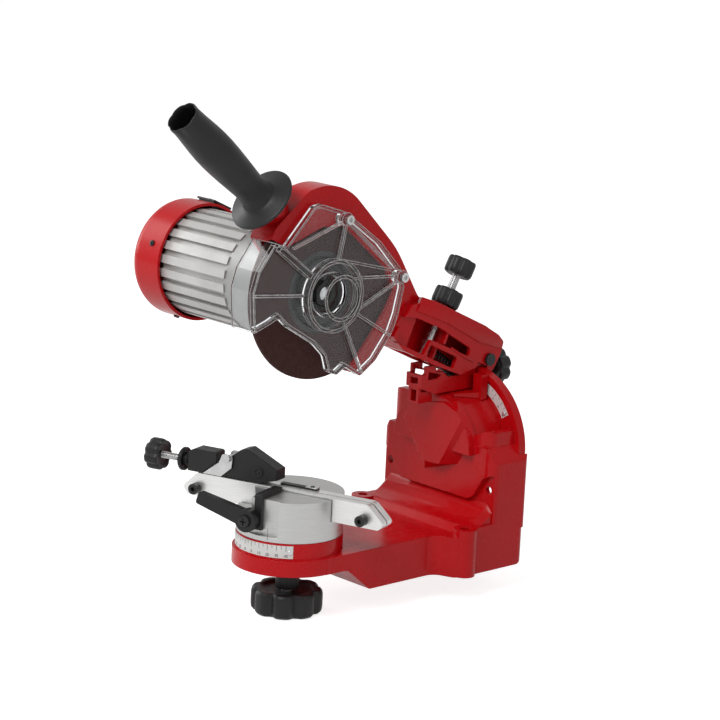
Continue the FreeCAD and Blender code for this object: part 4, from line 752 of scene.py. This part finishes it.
def add_tilt_scale():
    """Ticks and numbers on the film of the scale plate, and its rivet."""
    radius = 54
    marks = scale_marks(first=0, last=30, zero=-26, radius=radius, near=49.9, far=57.6, size=2.5, sense=-1)
    for vert in marks.verts:
        angle = math.radians(90) + vert.co.x / radius
        vert.co = Vector((math.cos(angle) * vert.co.y, 0, math.sin(angle) * vert.co.y))
    piece("tilt_scale_print", printed(marks), TILT @ at(0, 59.56, 0), "base", INK)
    spot = TILT @ at(0, 59.6, 0) @ turn(55, "Y") @ at(0, 0, 53.7) @ turn(90, "X")
    rivet = socket_screw(radius=1.8, height=0.7, socket=0.7, depth=0.4)
    piece("tilt_scale_rivet", rivet, spot, "base", STEEL)


# ---------------------------------------------------------------- camera, light and floor

def add_camera():
    """Three-quarter view from the front right, a little above the wheel."""
    around, rise, roll = math.radians(46.85), math.radians(12.72), math.radians(2.71)
    focal_pixels, frame_pixels, sensor_width, distance = 2663.5, 720, 36, 2.1987
    target = Vector((0.0156, -0.0859, 0.188))
    back = Vector((math.sin(around) * math.cos(rise), -math.cos(around) * math.cos(rise), math.sin(rise)))
    right = Vector((math.cos(around), math.sin(around), 0))
    up = back.cross(right)
    side = math.cos(roll) * right + math.sin(roll) * up
    top = -math.sin(roll) * right + math.cos(roll) * up
    lens = bpy.data.cameras.new("camera")
    lens.sensor_fit = "HORIZONTAL"
    lens.sensor_width = sensor_width
    lens.lens = sensor_width * focal_pixels / frame_pixels
    lens.clip_start, lens.clip_end = 0.05, 60
    camera = bpy.data.objects.new("camera", lens)
    bpy.context.scene.collection.objects.link(camera)
    placed = Matrix((side, top, back)).transposed().to_4x4()
    placed.translation = target + back * distance
    camera.matrix_world = placed
    bpy.context.scene.camera = camera


def add_lamp(name, place, aim, size, watts):
    """A rectangular lamp turned to a point."""
    lamp = bpy.data.lights.new(name, "AREA")
    lamp.shape = "RECTANGLE"
    lamp.size, lamp.size_y = size
    lamp.energy = watts
    item = bpy.data.objects.new(name, lamp)
    bpy.context.scene.collection.objects.link(item)
    item.location = place
    item.rotation_euler = (Vector(aim) - Vector(place)).to_track_quat("-Z", "Y").to_euler()


def seen_directly(tree):
    """1 for rays that the eye or clear plastic sends, less for a reflection, 0 for light on the object."""
    path = tree.nodes.new("ShaderNodeLightPath").outputs
    reflected = arithmetic(tree, "MULTIPLY", path["Is Glossy Ray"], 0.55)
    seen = arithmetic(tree, "MAXIMUM", path["Is Camera Ray"], path["Is Transmission Ray"])
    seen = arithmetic(tree, "MAXIMUM", seen, reflected)
    unscattered = arithmetic(tree, "LESS_THAN", path["Diffuse Depth"], 0.5)
    return arithmetic(tree, "MULTIPLY", seen, unscattered)


def add_world():
    """White to the eye, and a dimmer white as light on the object."""
    world = bpy.data.worlds.new("studio")
    world.use_nodes = True
    tree = world.node_tree
    bpy.context.scene.world = world
    strength = tree.nodes.new("ShaderNodeMapRange")
    strength.inputs["To Min"].default_value = 0.22
    strength.inputs["To Max"].default_value = 1.0
    tree.links.new(seen_directly(tree), strength.inputs["Value"])
    background = tree.nodes["Background"]
    background.inputs["Color"].default_value = WHITE
    tree.links.new(strength.outputs["Result"], background.inputs["Strength"])


def add_floor():
    """Pale floor that shows white and keeps a soft shadow."""
    gap, half_side, glow = 0.0002, 30, 0.80
    plane = bmesh.new()
    bmesh.ops.create_grid(plane, x_segments=1, y_segments=1, size=half_side)
    bmesh.ops.translate(plane, verts=plane.verts, vec=(0, 0, cad_box[0][2] - gap))
    mesh = bpy.data.meshes.new("floor")
    plane.to_mesh(mesh)
    plane.free()
    floor = bpy.data.objects.new("floor", mesh)
    bpy.context.scene.collection.objects.link(floor)
    material = bpy.data.materials.new("floor")
    material.use_nodes = True
    tree = material.node_tree
    shader = tree.nodes["Principled BSDF"].inputs
    shader["Base Color"].default_value = (0.8, 0.8, 0.8, 1)
    shader["Roughness"].default_value = 0.9
    shader["Emission Color"].default_value = WHITE
    strength = arithmetic(tree, "MULTIPLY", seen_directly(tree), glow)
    tree.links.new(strength, shader["Emission Strength"])
    mesh.materials.append(material)


def add_studio():
    """White surroundings and three lamps: in front, at the left and, weaker, at the right."""
    add_world()
    add_floor()
    middle = (0, -0.05, 0.2)
    add_lamp("key", place=(0.4, -1.8, 1.9), aim=middle, size=(1.3, 1.0), watts=30)
    add_lamp("left", place=(-1.9, -0.8, 0.9), aim=middle, size=(1.0, 1.4), watts=15)
    add_lamp("right", place=(1.9, 0.2, 1.2), aim=(0, 0, 0.2), size=(1.0, 1.4), watts=5)
    bpy.context.scene.view_settings.view_transform = "Standard"


dress_nodes()
add_knobs()
add_screws()
add_spring()
add_handle()
add_fillet()
add_arm_relief()
add_cover_edges()
add_pawl_relief()
add_plates()
add_swivel_scale()
add_tilt_scale()
add_studio()
add_camera()
